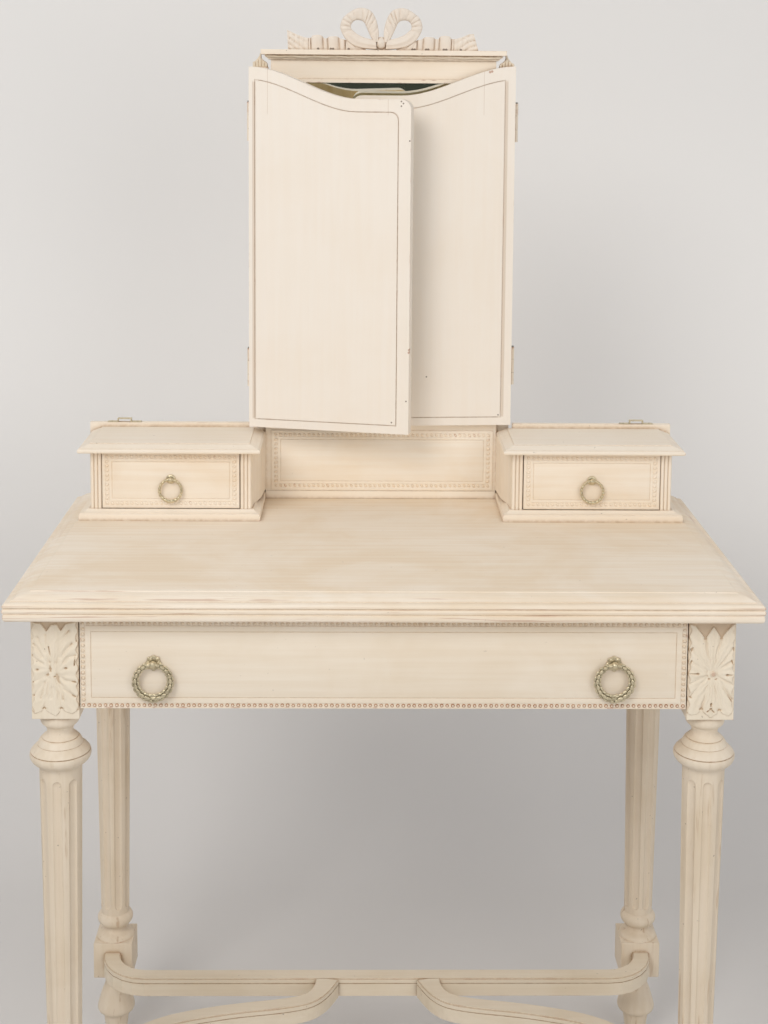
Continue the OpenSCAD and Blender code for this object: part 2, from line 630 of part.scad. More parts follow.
// top edge at distance s from the hinge edge
function wtop(i, s) = w_hi(i) - drop(i)*sstep(s/sweep(i));
cr = 13;
function outline(i, hs, fs, bs, ts) = let (x1 = w_edge(i) - hs,
    x0 = w_edge(i) - wing_w + fs, r = cr - fs*0.2, zt = w_hi(i) - drop(i) - ts)
    concat([[x0, w_lo(i) + bs], [x1, w_lo(i) + bs]],
    [for (k = [0:14]) let (s = hs + (sweep(i) - hs)*k/14)
        [w_edge(i) - s, wtop(i, s) - ts]],
    [for (a = [90:15:180]) [x0 + r + r*cos(a), zt - r + r*sin(a)]]);
module plate(i, y0, y1, hs, fs, bs, ts) along_y(y0, y1, outline(i, hs, fs, bs, ts));
wg = 20;   // inner margin of the wing glass
module wing(i, y, hs) {
    y1 = y - leaf_gap/2;
    y0 = y1 - wing_t;
    difference() {
        plate(i, y0, y1, 0, 0, 0, 0);
        // groove of the flush panel, outside
        difference() {
            plate(i, y0 - 1, y0 + 1.2, hs, free_stile, 10.3, 15.6 + i);
            plate(i, y0 - 2, y0 + 2, hs + 1.2, free_stile + 1.2, 11.5, 16.8 + i);
        }
        // seat of the glass, inside
        plate(i, y1 - 5, y1 + 1, wg, wg, wg, wg);
    }
}
module wing_glass(i, y) {
    y1 = y - leaf_gap/2;
    plate(i, y1 - 4.9, y1 - 1, wg + 0.4, wg + 0.4, wg + 0.4, wg + 0.4);
}
module wing_left() color(paint) left_rest() wing(0, hy_l, left_stile);
module wing_right() color(paint) right_rest() wing(1, hy_r, right_stile);
module wing_glass_left() color("#596058") left_rest() wing_glass(0, hy_l);
module wing_glass_right() color("#596058") right_rest() wing_glass(1, hy_r);
module wing_hinges_left() color(brass) left_rest() leaf_w(hx, hy_l);
module wing_hinges_right() color(brass) right_rest() leaf_w(hx, hy_r);

// ---- ring pulls
// mount: plate on the drawer face, stem, eye that the ring's pin turns in
module mount(x, y, z, off, rp, re, ft, pr) {
    prof = concat([[0, -ft - 5], [1.8, -ft - 5], [1.8, 0], [rp - 0.5, 0], [rp, 0.5],
        [rp - 0.4, 1.2], [rp - 2, 1.8], [re*0.62, 2.1]],
        [for (a = [140:-14:14]) [re*sin(a), off - re*cos(180 - a)]], [[0, off + re]]);
    translate([x, y, z]) difference() {
        rotate([90, 0, 0]) rotate_extrude() polygon(prof);
        translate([-rp - re, -off, 0]) rotate([0, 90, 0])
            cylinder(h = 2*(rp + re), r = pr + 0.06);
    }
    difference() {
        translate([x, y + ft + 3, z]) rotate([90, 0, 0]) cylinder(h = 3, r = 4.5, $fn = 6);
        translate([x, y + ft + 4, z]) rotate([90, 0, 0]) cylinder(h = 5, r = 1.85);
    }
}
module ring(x, y, z, off, R, r, gap, pr) translate([x, y - off, z]) {
    difference() {
        translate([0, 0, -R + 0.6]) rotate([90, 0, 0]) rotate_extrude()
            translate([R, 0]) circle(r, $fn = 32);
        translate([-gap, -10, -R/2]) cube([2*gap, 20, R]);
    }
    translate([-gap - 1.5, 0, 0]) rotate([0, 90, 0]) cylinder(h = 2*gap + 3, r = pr);
}
pin_l = 1.5;
module drawer_pull_mounts() color(brass) both()
    mount(pull_x, face_y, pull_z, pin_off, 8, 3.9, df_t, pin_l);
module pull_ring(s) color(brass) side(s)
    ring(pull_x, face_y, pull_z, pin_off, ring_R, ring_r, 4.4, pin_l);

// ---- wide drawer
module drawer_front() color(paint) difference() {
    bx(-dr_hw, dr_hw, face_y, face_y + df_t, dr_z0, dr_z1);
    difference() {
        bx(-dr_hw + 11.4, dr_hw - 11.4, face_y - 1, face_y + 0.9,
            dr_z0 + 11.4, dr_z1 - 11.4);
        bx(-dr_hw + 12.6, dr_hw - 12.6, face_y - 2, face_y + 2,
            dr_z0 + 12.6, dr_z1 - 12.6);
    }
    both() translate([pull_x, face_y + df_t + 1, pull_z]) rotate([90, 0, 0])
        cylinder(h = df_t + 2, r = 1.9);
}
d_y0 = face_y + df_t;
d_y1 = d_y0 + ds_len;
g_z = dz0 + 8;                       // groove of the drawer bottom
module drawer_sides() color(raw) both() difference() {
    bx(ds_x - ds_t, ds_x, d_y0, d_y1, dz0, dz1);
    bx(ds_x - ds_t - 1, ds_x - ds_t + 5, d_y0 - 1, d_y1 - ds_t, g_z, g_z + 5.2);
}
module drawer_back() color(raw)
    bx(-ds_x + ds_t, ds_x - ds_t, d_y1 - ds_t, d_y1, dz0, dz1 - 8);
module drawer_bottom() color(raw)
    bx(-ds_x + ds_t - 4.8, ds_x - ds_t + 4.8, d_y0, d_y1 - ds_t, g_z + 0.1, g_z + 5.1);

// ---- small drawers
sdg = 1;
st_t = 7;
module small_front(s) color(paint) side(s) difference() {
    bx(sd_i + sdg, sd_o - sdg, cf, cf + 12, bz + 0.8, lz - 0.8);
    difference() {
        bx(sd_i + 13, sd_o - 13, cf - 1, cf + 0.9, bz + 13, lz - 13);
        bx(sd_i + 14, sd_o - 14, cf - 2, cf + 2, bz + 14, lz - 14);
    }
    translate([sd_x, cf + 13, sp_z]) rotate([90, 0, 0]) cylinder(h = 14, r = 1.9);
}
st_x0 = sd_i + 1.5;
st_x1 = sd_o - 1.5;
st_y1 = box_back - 8;
module small_tray(s) color(raw) side(s) {
    bx(st_x0, st_x0 + st_t, cf + 12, st_y1, bz + 0.5, lz - 12);
    bx(st_x1 - st_t, st_x1, cf + 12, st_y1, bz + 0.5, lz - 12);
    bx(st_x0 + st_t, st_x1 - st_t, st_y1 - 7, st_y1, bz + 0.5, lz - 12);
    bx(st_x0 + st_t, st_x1 - st_t, cf + 12, st_y1 - 7, bz + 2, bz + 6);
}
spin_l = 1.2;
module small_mount(s) color(brass) side(s)
    mount(sd_x, cf, sp_z, sp_off, 6, 3.3, 12, spin_l);
module small_ring(s) color(brass) side(s)
    ring(sd_x, cf, sp_z, sp_off, sring_R, sring_r, 3.8, spin_l);

top_board();
front_leg(-1);  // leg_front_left
front_leg(1);  // leg_front_right
back_leg(-1);  // leg_back_left
back_leg(1);  // leg_back_right
apron(-1);  // apron_left
apron(1);  // apron_right
apron_back();
front_rail_upper();
front_rail_lower();
drawer_runners();
drawer_kickers();
stretcher_rear();
arm(-1);  // stretcher_arm_left
arm(1);  // stretcher_arm_right
box_base(-1);  // box_base_left
box_base(1);  // box_base_right
box_side_outer(-1);  // box_side_outer_left
box_side_outer(1);  // box_side_outer_right
box_side_inner(-1);  // box_side_inner_left
box_side_inner(1);  // box_side_inner_right
box_backs();
box_lid(-1);  // box_lid_left
box_lid(1);  // box_lid_right
lid_strips();
lid_clips();
back_panel();
mirror_stiles();
mirror_rail_bottom();
mirror_frieze();
mirror_cornice();
mirror_crest();
mirror_consoles();
mirror_bead();
mirror_glass();
mirror_backboard();
hinge_packing();
hinge_leaves_frame();
hinge_pins();
drawer_front();
drawer_sides();
drawer_back();
drawer_bottom();
drawer_pull_mounts();
pull_ring(-1);  // pull_ring_left
pull_ring(1);  // pull_ring_right
small_front(-1);  // small_drawer_front_left
small_tray(-1);  // small_drawer_tray_left
small_mount(-1);  // small_pull_mount_left
small_ring(-1);  // small_pull_ring_left
small_front(1);  // small_drawer_front_right
small_tray(1);  // small_drawer_tray_right
small_mount(1);  // small_pull_mount_right
small_ring(1);  // small_pull_ring_right
wing_left();
wing_glass_left();
wing_hinges_left();
wing_right();
wing_glass_right();
wing_hinges_right();
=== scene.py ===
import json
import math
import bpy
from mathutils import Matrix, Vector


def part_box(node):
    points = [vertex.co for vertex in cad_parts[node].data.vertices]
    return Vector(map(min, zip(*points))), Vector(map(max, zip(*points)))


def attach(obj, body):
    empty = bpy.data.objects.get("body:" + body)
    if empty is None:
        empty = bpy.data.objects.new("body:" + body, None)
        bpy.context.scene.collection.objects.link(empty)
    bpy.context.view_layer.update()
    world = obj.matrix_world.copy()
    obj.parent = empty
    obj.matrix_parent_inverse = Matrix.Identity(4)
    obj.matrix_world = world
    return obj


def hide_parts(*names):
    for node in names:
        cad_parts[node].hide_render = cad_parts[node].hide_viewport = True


bl_info = {
    "name": "Vanity table with folding mirror",
    "version": (1, 0, 0),
    "blender": (4, 5, 0),
    "location": "3D View > Sidebar > Vanity table",
    "description": "Dresses the painted vanity table: carving, beads, ring pulls, mirror and aged paint",
    "category": "Object",
}

import bmesh
import bpy
from bpy.props import FloatProperty, FloatVectorProperty, IntProperty, PointerProperty
from bpy.types import NodeSocket, Operator, Panel, PropertyGroup
from mathutils import Matrix, Vector

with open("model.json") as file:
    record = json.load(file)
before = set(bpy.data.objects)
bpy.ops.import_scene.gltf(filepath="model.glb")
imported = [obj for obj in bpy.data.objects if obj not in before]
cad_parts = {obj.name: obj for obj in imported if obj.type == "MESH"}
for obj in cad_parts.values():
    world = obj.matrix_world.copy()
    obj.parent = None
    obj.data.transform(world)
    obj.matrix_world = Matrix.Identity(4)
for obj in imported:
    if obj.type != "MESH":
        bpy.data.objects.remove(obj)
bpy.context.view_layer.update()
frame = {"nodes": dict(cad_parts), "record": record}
nodes = frame["nodes"]


def tint(red, green, blue):
    """A display colour, 0 to 255, as the linear values that Blender keeps."""
    def one(v):
        v /= 255.0
        return v / 12.92 if v <= 0.04045 else ((v + 0.055) / 1.055) ** 2.4
    return (one(red), one(green), one(blue))


# ---------------------------------------------------------------- settings
def shade(name, description, *display):
    """A colour setting with a display colour as its default."""
    return FloatVectorProperty(
        name=name, description=description, subtype="COLOR", size=3, min=0, max=1, default=tint(*display))


class VANITY_PG_paint(PropertyGroup):
    cream: shade("Cream", "Main colour of the paint", 245, 233, 216)
    beige: shade("Beige", "Where the top coat is thin and the first coat shows", 236, 217, 191)
    # The tan is wax in the hollows and painted shade there too: it is laid where the surface is closed in.
    wax_and_shade_tan: shade("Wax and shade", "Tan wax and painted shade in corners and grooves", 176, 142, 104)
    rubbed: shade("Rubbed edge", "Red-brown ground where an edge is worn through", 176, 122, 92)
    speck: shade("Specks", "Small dark flecks and pin holes", 88, 66, 50)
    # The deep-hollow colour is painted shade at the bottom of narrow gaps and deep cuts.
    dark: shade("Deep hollows", "Painted shade at the bottom of narrow gaps and deep cuts", 74, 56, 44)
    sheen: FloatProperty(
        name="Roughness", description="Roughness of the waxed paint", min=0, max=1, default=0.56)


class VANITY_PG_metal(PropertyGroup):
    brass: shade("Brass", "Colour of the dull gilt fittings", 226, 214, 184)
    tarnish: shade("Tarnish", "Dark residue in the fittings' hollows", 118, 106, 76)
    steel: shade("Steel", "Colour of the hinge pins", 140, 137, 130)


class VANITY_PG_wood(PropertyGroup):
    pale: shade("Pale wood", "Light bands of the bare wood", 196, 160, 112)
    dark: shade("Dark wood", "Dark bands of the bare wood", 146, 106, 66)


class VANITY_PG_carving(PropertyGroup):
    pearl: FloatProperty(
        name="Pearl pitch", description="Distance between the pearls round the wide drawer",
        unit="LENGTH", min=0.003, max=0.012, default=0.006)
    rope: FloatProperty(
        name="Rope pitch", description="Distance between the turns of the rope borders",
        unit="LENGTH", min=0.003, max=0.012, default=0.0062)
    leaves: IntProperty(
        name="Wreath leaves", description="Rows of leaves round each ring pull", min=8, max=40, default=18)


class VANITY_PG_studio(PropertyGroup):
    key: FloatProperty(
        name="Key lamp", description="Power of the large lamp at the left", unit="POWER",
        min=0, max=500, default=36)
    fill: FloatProperty(
        name="Fill lamp", description="Power of the large lamp at the right", unit="POWER",
        min=0, max=500, default=16)
    sky: FloatProperty(
        name="Room light", description="Strength of the even light from all round",
        min=0, max=3, default=0.58)
    # The three backdrop colours paint light on it: brightest at the table's height, darker above and on the
    # floor.
    backdrop: shade("Backdrop", "Colour of the backdrop at the table's height", 250, 248, 245)
    upper: shade("Upper backdrop", "Colour of the backdrop above the table", 240, 238, 235)
    floor: shade("Floor", "Colour of the backdrop on the floor", 216, 213, 210)


# ---------------------------------------------------------------- hand tools
def clear_selection():
    if bpy.context.object is not None and bpy.context.object.mode != "OBJECT":
        bpy.ops.object.mode_set(mode="OBJECT")
    bpy.ops.object.select_all(action="DESELECT")


def pick(piece):
    clear_selection()
    piece.select_set(True)
    bpy.context.view_layer.objects.active = piece


def new_piece(add, **settings):
    """Adds one primitive with nothing else selected."""
    clear_selection()
    add(**settings)
    return bpy.context.object


def apply_place():
    """Puts the place, turn and size of the picked piece into its mesh."""
    bpy.ops.object.transform_apply(location=True, rotation=True, scale=True)


def settle(piece, name, material):
    """Puts the piece's place into its mesh, names it and gives it its material."""
    pick(piece)
    apply_place()
    piece.name = name
    piece.data.name = name
    piece.data.materials.clear()
    piece.data.materials.append(material)


def fit(piece, name, finish, body, node=None):
    """Settles a new piece with its finish and body, and hides the node that it replaces, if any."""
    settle(piece, name, finishes[finish])
    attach(piece, body)
    if node:
        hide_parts(node)


def board(name, low, high, round_by=0.0, steps=2):
    """A box between two corners, its edges eased."""
    low, high = Vector(low), Vector(high)
    piece = new_piece(bpy.ops.mesh.primitive_cube_add, size=1, location=(low + high) / 2)
    piece.name = name
    piece.scale = high - low
    apply_place()
    if round_by:
        ease(piece, round_by, steps)
    return piece


def ease(piece, width, steps=2, angle=35):
    pick(piece)
    bevel = piece.modifiers.new("Eased edges", "BEVEL")
    bevel.width = width
    bevel.segments = steps
    bevel.limit_method = "ANGLE"
    bevel.angle_limit = math.radians(angle)
    bpy.ops.object.modifier_apply(modifier=bevel.name)


def smooth(piece, angle):
    pick(piece)
    bpy.ops.object.shade_smooth_by_angle(angle=math.radians(angle))


def join(pieces, name):
    clear_selection()
    for one in pieces:
        one.select_set(True)
    bpy.context.view_layer.objects.active = pieces[0]
    if len(pieces) > 1:
        bpy.ops.object.join()
    piece = bpy.context.object
    piece.name = name
    return piece


def twin(piece):
    """A copy with a mesh of its own."""
    pick(piece)
    bpy.ops.object.duplicate(linked=False)
    return bpy.context.object


def edit_all(piece):
    """Opens a piece in edit mode with all of it picked."""
    pick(piece)
    bpy.ops.object.mode_set(mode="EDIT")
    bpy.ops.mesh.select_all(action="SELECT")


def edit_some(piece, kind, wanted):
    """Opens a piece in edit mode with only the wanted faces or edges picked."""
    pick(piece)
    bpy.ops.object.mode_set(mode="EDIT")
    bpy.ops.mesh.select_mode(type=kind)
    bpy.ops.mesh.select_all(action="DESELECT")
    bm = bmesh.from_edit_mesh(piece.data)
    for part in bm.faces if kind == "FACE" else bm.edges:
        if wanted(part):
            part.select_set(True)
    bmesh.update_edit_mesh(piece.data)


def outward(piece):
    """Merges doubled points and turns every face outwards."""
    edit_all(piece)
    bpy.ops.mesh.remove_doubles(threshold=1e-6)
    bpy.ops.mesh.normals_make_consistent(inside=False)
    bpy.ops.object.mode_set(mode="OBJECT")


def turn_over(piece):
    """Makes a piece its mirror image across the middle of the table."""
    pick(piece)
    piece.data.transform(Matrix.Diagonal((-1, 1, 1, 1)))
    outward(piece)


def flip_x(piece):
    """A mirrored copy across the middle of the table."""
    copy = twin(piece)
    apply_place()
    turn_over(copy)
    return copy


def turned(name, outline, centre, steps):
    """A turned piece: a ring of points drawn up through the outline's radii and heights."""
    radius, height = outline[0]
    piece = new_piece(bpy.ops.mesh.primitive_circle_add, vertices=steps, radius=radius,
                      fill_type="NGON", location=(centre[0], centre[1], height))
    apply_place()
    edit_all(piece)
    for (r0, z0), (r1, z1) in zip(outline, outline[1:]):
        bpy.ops.mesh.extrude_region_move(TRANSFORM_OT_translate={"value": (0, 0, z1 - z0)})
        k = r1 / r0
        bpy.ops.transform.resize(value=(k, k, 1), center_override=(centre[0], centre[1], z1))
    bpy.ops.object.mode_set(mode="OBJECT")
    piece.name = name
    return piece


def rows_along(piece, step, count):
    """Repeats a piece in a straight line."""
    pick(piece)
    line = piece.modifiers.new("Row", "ARRAY")
    line.use_relative_offset = False
    line.use_constant_offset = True
    line.constant_offset_displace = step
    line.count = count
    bpy.ops.object.modifier_apply(modifier=line.name)


def drawn_plate(name, points, low, high):
    """A plate drawn as an outline in X and Z and pushed from low to high along Y."""
    piece = new_piece(bpy.ops.mesh.primitive_circle_add, vertices=len(points), radius=1, fill_type="NGON")
    for vertex, (x, z) in zip(piece.data.vertices, points):
        vertex.co = (x, low, z)
    edit_all(piece)
    bpy.ops.mesh.extrude_region_move(TRANSFORM_OT_translate={"value": (0, high - low, 0)})
    bpy.ops.object.mode_set(mode="OBJECT")
    piece.name = name
    outward(piece)
    return piece


def run_back(piece, back, closed=False):
    """Runs the open edge of a relief straight back to a depth, and closes it there if asked."""
    edit_some(piece, "EDGE", lambda edge: edge.is_boundary)
    bpy.ops.mesh.extrude_edges_move(TRANSFORM_OT_translate={"value": (0, 0.001, 0)})
    bm = bmesh.from_edit_mesh(piece.data)
    for vertex in bm.verts:
        if vertex.select:
            vertex.co.y = back
    bmesh.update_edit_mesh(piece.data)
    if closed:
        bpy.ops.mesh.edge_face_add()
    bpy.ops.object.mode_set(mode="OBJECT")
    outward(piece)


# ---------------------------------------------------------------- finishes
finishes = {}


class Nodes:
    """Adds and joins the nodes of one material or of the world."""

    def __init__(self, tree):
        self.tree = tree

    def add(self, kind, inputs=None, **settings):
        """A new node, its inputs given by name or number as values or other nodes' outputs."""
        node = self.tree.nodes.new(kind)
        for key, value in settings.items():
            setattr(node, key, value)
        self.feed(node, inputs or {})
        return node

    def feed(self, node, inputs):
        for key, value in inputs.items():
            self.link(value, node.inputs[key])

    def link(self, source, target):
        if isinstance(source, NodeSocket):
            self.tree.links.new(source, target)
        else:
            target.default_value = source

    def math(self, operation, first, second=0.0):
        return self.add("ShaderNodeMath", {0: first, 1: second}, operation=operation).outputs["Value"]

    def times(self, product, *factors):
        for factor in factors:
            product = self.math("MULTIPLY", product, factor)
        return product

    def spread(self, value, low, high, out_low=0.0, out_high=1.0, curve="SMOOTHSTEP"):
        """Spreads the range from low to high over the range from out_low to out_high."""
        inputs = {"Value": value, "From Min": low, "From Max": high, "To Min": out_low, "To Max": out_high}
        return self.add("ShaderNodeMapRange", inputs, interpolation_type=curve).outputs["Result"]

    def fall(self, value, low, high):
        """1 up to low, falling to 0 at high."""
        return self.spread(value, low, high, 1.0, 0.0)

    def blend(self, amount, under, over, how="MIX"):
        """One colour laid over another by an amount."""
        node = self.add("ShaderNodeMix", {"Factor": amount}, data_type="RGBA", blend_type=how)
        sockets = [s for s in node.inputs if s.type == "RGBA"]
        for socket, colour in zip(sockets, (under, over)):
            self.link(colour if isinstance(colour, NodeSocket) else (*colour, 1), socket)
        return [s for s in node.outputs if s.type == "RGBA"][0]


class Recipe(Nodes):
    """One material, with its patterns laid on the piece's own place."""

    def __init__(self, name):
        self.material = finishes[name] = bpy.data.materials.new(name)
        self.material.use_nodes = True
        super().__init__(self.material.node_tree)
        self.shader = self.tree.nodes["Principled BSDF"]
        self.place = self.add("ShaderNodeTexCoord").outputs["Object"]

    def mapped(self, scale=(1, 1, 1), shift=(0, 0, 0)):
        """The place on the piece, stretched and moved for a pattern."""
        inputs = {"Vector": self.place, "Location": shift, "Scale": scale}
        return self.add("ShaderNodeMapping", inputs).outputs["Vector"]

    def noise(self, vector, scale, detail, rough, warp=0.0):
        inputs = {"Vector": vector, "Scale": scale, "Detail": detail, "Roughness": rough, "Distortion": warp}
        return self.add("ShaderNodeTexNoise", inputs).outputs["Fac"]

    def axis(self, name, vector=None):
        """One coordinate of the place on the piece, or of another vector."""
        return self.add("ShaderNodeSeparateXYZ", {0: vector or self.place}).outputs[name]

    def facing(self, name):
        """How far the surface faces along an axis, from -1 to 1."""
        return self.axis(name, self.add("ShaderNodeTexCoord").outputs["Normal"])

    def stripe(self, value, middle, half, soft):
        """1 on a soft-edged stripe across one coordinate, else 0."""
        away = self.math("ABSOLUTE", self.math("SUBTRACT", value, middle))
        return self.fall(away, half, half + soft)

    def dots(self, places, radius):
        """1 in small round spots on an upright face, given by X and Z."""
        flat = self.mapped((1, 0, 1))
        total = None
        for x, z in places:
            away = self.add("ShaderNodeVectorMath", {0: flat, 1: (x, 0, z)}, operation="DISTANCE")
            spot = self.fall(away.outputs["Value"], radius * 0.5, radius)
            total = spot if total is None else self.math("MAXIMUM", total, spot)
        return total

    def hollow(self, reach, inside=False):
        """How open the surface is within reach, or how thick the piece is under it if inside."""
        settings = {"samples": 8, "inside": inside, "only_local": inside}
        return self.add("ShaderNodeAmbientOcclusion", {"Distance": reach}, **settings).outputs["AO"]

    def relief(self, height, depth, strength, under=None):
        """Bumps from a pattern, laid over other bumps if there are any."""
        node = self.add("ShaderNodeBump", {"Height": height, "Distance": depth, "Strength": strength})
        if under:
            self.link(under, node.inputs["Normal"])
        return node.outputs["Normal"]


def painted(name, grain, warmth=0.5, rubbing=0.5, specks=0.5, wax_and_shade_amount=1.0, reach=0.007, coats=None,
            calm=None, touch=None):
    """Aged cream paint brushed along one direction, with tan wax and painted shade in its hollows, painted
    shade deep in narrow gaps, and worn edges.

    coats names its top and first coat, calm gives the places with hardly any wax or painted shade in the
    hollows, and touch adds what one piece has of its own."""
    look = bpy.context.scene.vanity_paint
    top_coat, first_coat = coats or (look.cream, look.beige)
    r = Recipe(name)
    along_stroke, across_stroke = 5, 130
    strokes = [along_stroke if axis == grain else across_stroke for axis in "XYZ"]
    brushed = r.noise(r.mapped(strokes), 1.0, 4, 0.6)
    cloudy = r.noise(r.mapped(), 7.0, 4, 0.62, 0.4)
    fine = r.noise(r.mapped(), 160.0, 3, 0.6)
    patch = r.times(r.spread(cloudy, 0.38, 0.66), 0.55 * warmth)
    tone = r.math("ADD", patch, r.times(r.spread(brushed, 0.3, 0.72), 0.5 * warmth))
    coat = r.blend(tone, top_coat, first_coat)
    corner = r.hollow(reach)
    # Tan wax and painted shade: the coat goes tan where the surface is closed in, in corners, grooves and
    # under overhangs.
    wax_and_shade = r.times(r.fall(corner, 0.35, 0.97), r.spread(fine, 0.25, 0.7, 0.45, 1.0), 0.8 * wax_and_shade_amount)
    wax_and_shade = r.math("MINIMUM", wax_and_shade, 0.9)
    if calm:
        wax_and_shade = r.times(wax_and_shade, r.math("SUBTRACT", 1.0, calm(r)))
    coat = r.blend(wax_and_shade, coat, look.wax_and_shade_tan)
    edge = r.fall(r.hollow(0.0022, inside=True), 0.42, 0.62)
    patchy = r.noise(r.mapped(shift=(3.1, 1.7, 0.4)), 38.0, 4, 0.65)
    patchy = r.spread(patchy, 0.62 - 0.2 * rubbing, 0.72 - 0.2 * rubbing)
    coat = r.blend(r.times(edge, patchy, 0.75), coat, look.rubbed)
    flecks = r.noise(r.mapped(shift=(0.7, 9.2, 5.5)), 210.0, 2, 0.5)
    flecks = r.spread(flecks, 0.755 - 0.03 * specks, 0.80 - 0.03 * specks)
    coat = r.blend(r.times(flecks, 0.7 * min(1.0, 1.5 * specks)), coat, look.speck)
    # Painted shade: the bottoms of narrow gaps and deep cuts go dark.
    deep = r.spread(corner, 0.04, 0.26, 0.8 * min(1.0, wax_and_shade_amount), 0.0)
    coat = r.blend(deep, coat, look.dark)
    if touch:
        coat = touch(r, coat, look)
    lumps = r.relief(cloudy, 0.0012, 0.25)
    r.feed(r.shader, {"Base Color": coat, "Roughness": look.sheen, "Specular IOR Level": 0.35,
                      "Normal": r.relief(brushed, 0.0004, 0.35, lumps)})


# what each wing has of its own, in metres: where the groove by the hinge is painted soft, as a tan line of
# wax and painted shade, and half its width, the joints in its top rail, its pin holes and its nicks, X and Z
WING_MARKS = {
    "left": {
        "groove": -0.1657, "half": 0.0016, "joints": (-0.1481, 0.0049),
        "pins": ((0.0213, 1.2874), (0.0238, 1.2849), (0.0213, 1.2816), (0.0321, 1.2383),
                 (0.0303, 0.9072), (0.0122, 0.8788)),
        "nicks": ((0.0335, 0.9701), (0.0338, 0.9735))},
    "right": {
        "groove": 0.1590, "half": 0.0013, "joints": (0.1296,),
        "pins": ((0.1539, 0.8766), (0.0587, 0.9280)),
        "nicks": ((0.1394, 1.3262), (0.1368, 1.3254))},
}


def wing_paint(side):
    """A wing's paint: pale outside, with its own marks, and bare wood on its inner face, made pale as
    painted light.
    """
    marks = WING_MARKS[side]
    low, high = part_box("wing_" + side)

    def calm(r):
        return r.times(r.stripe(r.axis("X"), marks["groove"], 0.004, 0.002), 0.85)

    def touch(r, coat, look):
        x, z = r.axis("X"), r.axis("Z")
        below = r.fall(z, high.z - 0.021, high.z - 0.017)
        above = r.spread(z, low.z + 0.010, low.z + 0.013)
        # A soft tan line along the groove by the hinge: wax and painted shade in the groove.
        soft = r.stripe(x, marks["groove"], marks["half"], 0.0011)
        coat = r.blend(r.times(soft, r.times(below, above), 0.34), coat, look.wax_and_shade_tan)
        for joint in marks["joints"]:
            line = r.times(r.stripe(x, joint, 0.0001, 0.0005), r.spread(z, 1.268, 1.272), 0.3)
            coat = r.blend(line, coat, look.wax_and_shade_tan)
        coat = r.blend(r.times(r.dots(marks["pins"], 0.0013), 0.85), coat, look.speck)
        coat = r.blend(r.times(r.dots(marks["nicks"], 0.0021), 0.7), coat, look.rubbed)
        # The inner face's bare wood is much paler than the bare wood elsewhere: painted light for a face the
        # lamps hardly reach.
        inner = r.facing("Y")
        grain = r.noise(r.mapped((60, 60, 3)), 1.0, 4, 0.6, 1.0)
        bare = r.blend(r.spread(grain, 0.3, 0.7), tint(244, 226, 188), tint(230, 206, 160))
        return r.blend(r.spread(inner, 0.7, 0.9), coat, bare)

    painted("Wing paint " + side, "Z", warmth=0.3, rubbing=0.3, specks=0.0, wax_and_shade_amount=0.75, reach=0.004,
            coats=(tint(242, 233, 221), tint(236, 220, 199)), calm=calm, touch=touch)


def rail_paint():
    """The mirror's lower rail, brown along its lower edge: brown wax, and painted shade under the wings."""
    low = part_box("mirror_rail_bottom")[0]

    def touch(r, coat, look):
        # Brown along the lower edge: wax on the rail, and painted shade in the gap under the wings.
        worn = r.fall(r.axis("Z"), low.z + 0.007, low.z + 0.012)
        return r.blend(r.times(worn, 0.85), coat, tint(196, 156, 112))

    painted("Lower rail paint", "X", warmth=0.8, touch=touch)


def crest_paint():
    """The bow's paint, with painted shade in small dark spots in the gaps under its folds."""
    low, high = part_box("mirror_crest")
    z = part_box("mirror_cornice")[1].z + 0.0012
    middle = (low.x + high.x) / 2
    gaps = (-0.0819, -0.0655, -0.0625, -0.0422, 0.0409, 0.0435, 0.0585, 0.0612, 0.0815, 0.0846, 0.1036)

    def touch(r, coat, look):
        # Painted shade: small dark spots in the gaps under the folds.
        fold_shade_spots = r.dots([(middle + x, z) for x in gaps], 0.0022)
        return r.blend(r.times(fold_shade_spots, 0.8), coat, look.speck)

    painted("Crest paint", "Z", warmth=0.5, rubbing=0.2, specks=0.3, wax_and_shade_amount=0.75, reach=0.004,
            coats=(tint(236, 225, 211), tint(223, 207, 190)), touch=touch)


def leg_paint():
    """The legs' paint: a darker copy of the cream paint as painted shade, and more painted shade towards the
    floor.
    """
    def touch(r, coat, look):
        # Painted shade: the paint goes darker below 0.5 to 0.6 m, towards the floor.
        low = r.fall(r.axis("Z"), 0.50, 0.60)
        coat = r.blend(r.times(low, 0.2), coat, tint(205, 190, 166), "MULTIPLY")
        streaks = r.noise(r.mapped((110, 110, 7), (4.1, 2.2, 0.9)), 1.0, 4, 0.62)
        return r.blend(r.times(r.spread(streaks, 0.60, 0.70), low, 0.5), coat, look.wax_and_shade_tan)

    # The darker coats are painted shade on the legs.
    painted("Leg paint", "Z", warmth=0.7, rubbing=0.5, specks=0.6, wax_and_shade_amount=1.3, reach=0.008,
            coats=(tint(235, 222, 203), tint(219, 201, 174)), touch=touch)


def carved_paint():
    """The carvings' paint: a darker copy of the cream paint as painted shade, brown wax on the sunk ground
    of the front blocks, and a rubbed boss.
    """
    low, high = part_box("leg_front_right")
    boss = (((low.x + high.x) / 2 + 0.0022, high.z - 0.0652),)
    ground = (low.y + high.y) / 2 - BLOCK + CARVED

    def touch(r, coat, look):
        y = r.axis("Y")
        sunk = r.times(r.spread(y, ground - 0.0009, ground - 0.0002),
                       r.fall(y, ground + 0.0006, ground + 0.0010), 0.52)
        coat = r.blend(sunk, coat, look.wax_and_shade_tan)
        return r.blend(r.times(r.dots(boss, 0.0032), 0.5), coat, look.rubbed)

    # The darker coats are painted shade.
    painted("Carved paint", "Z", warmth=0.5, rubbing=0.25, specks=0.5, wax_and_shade_amount=1.15, reach=0.007,
            coats=(tint(235, 223, 203), tint(220, 203, 175)), touch=touch)


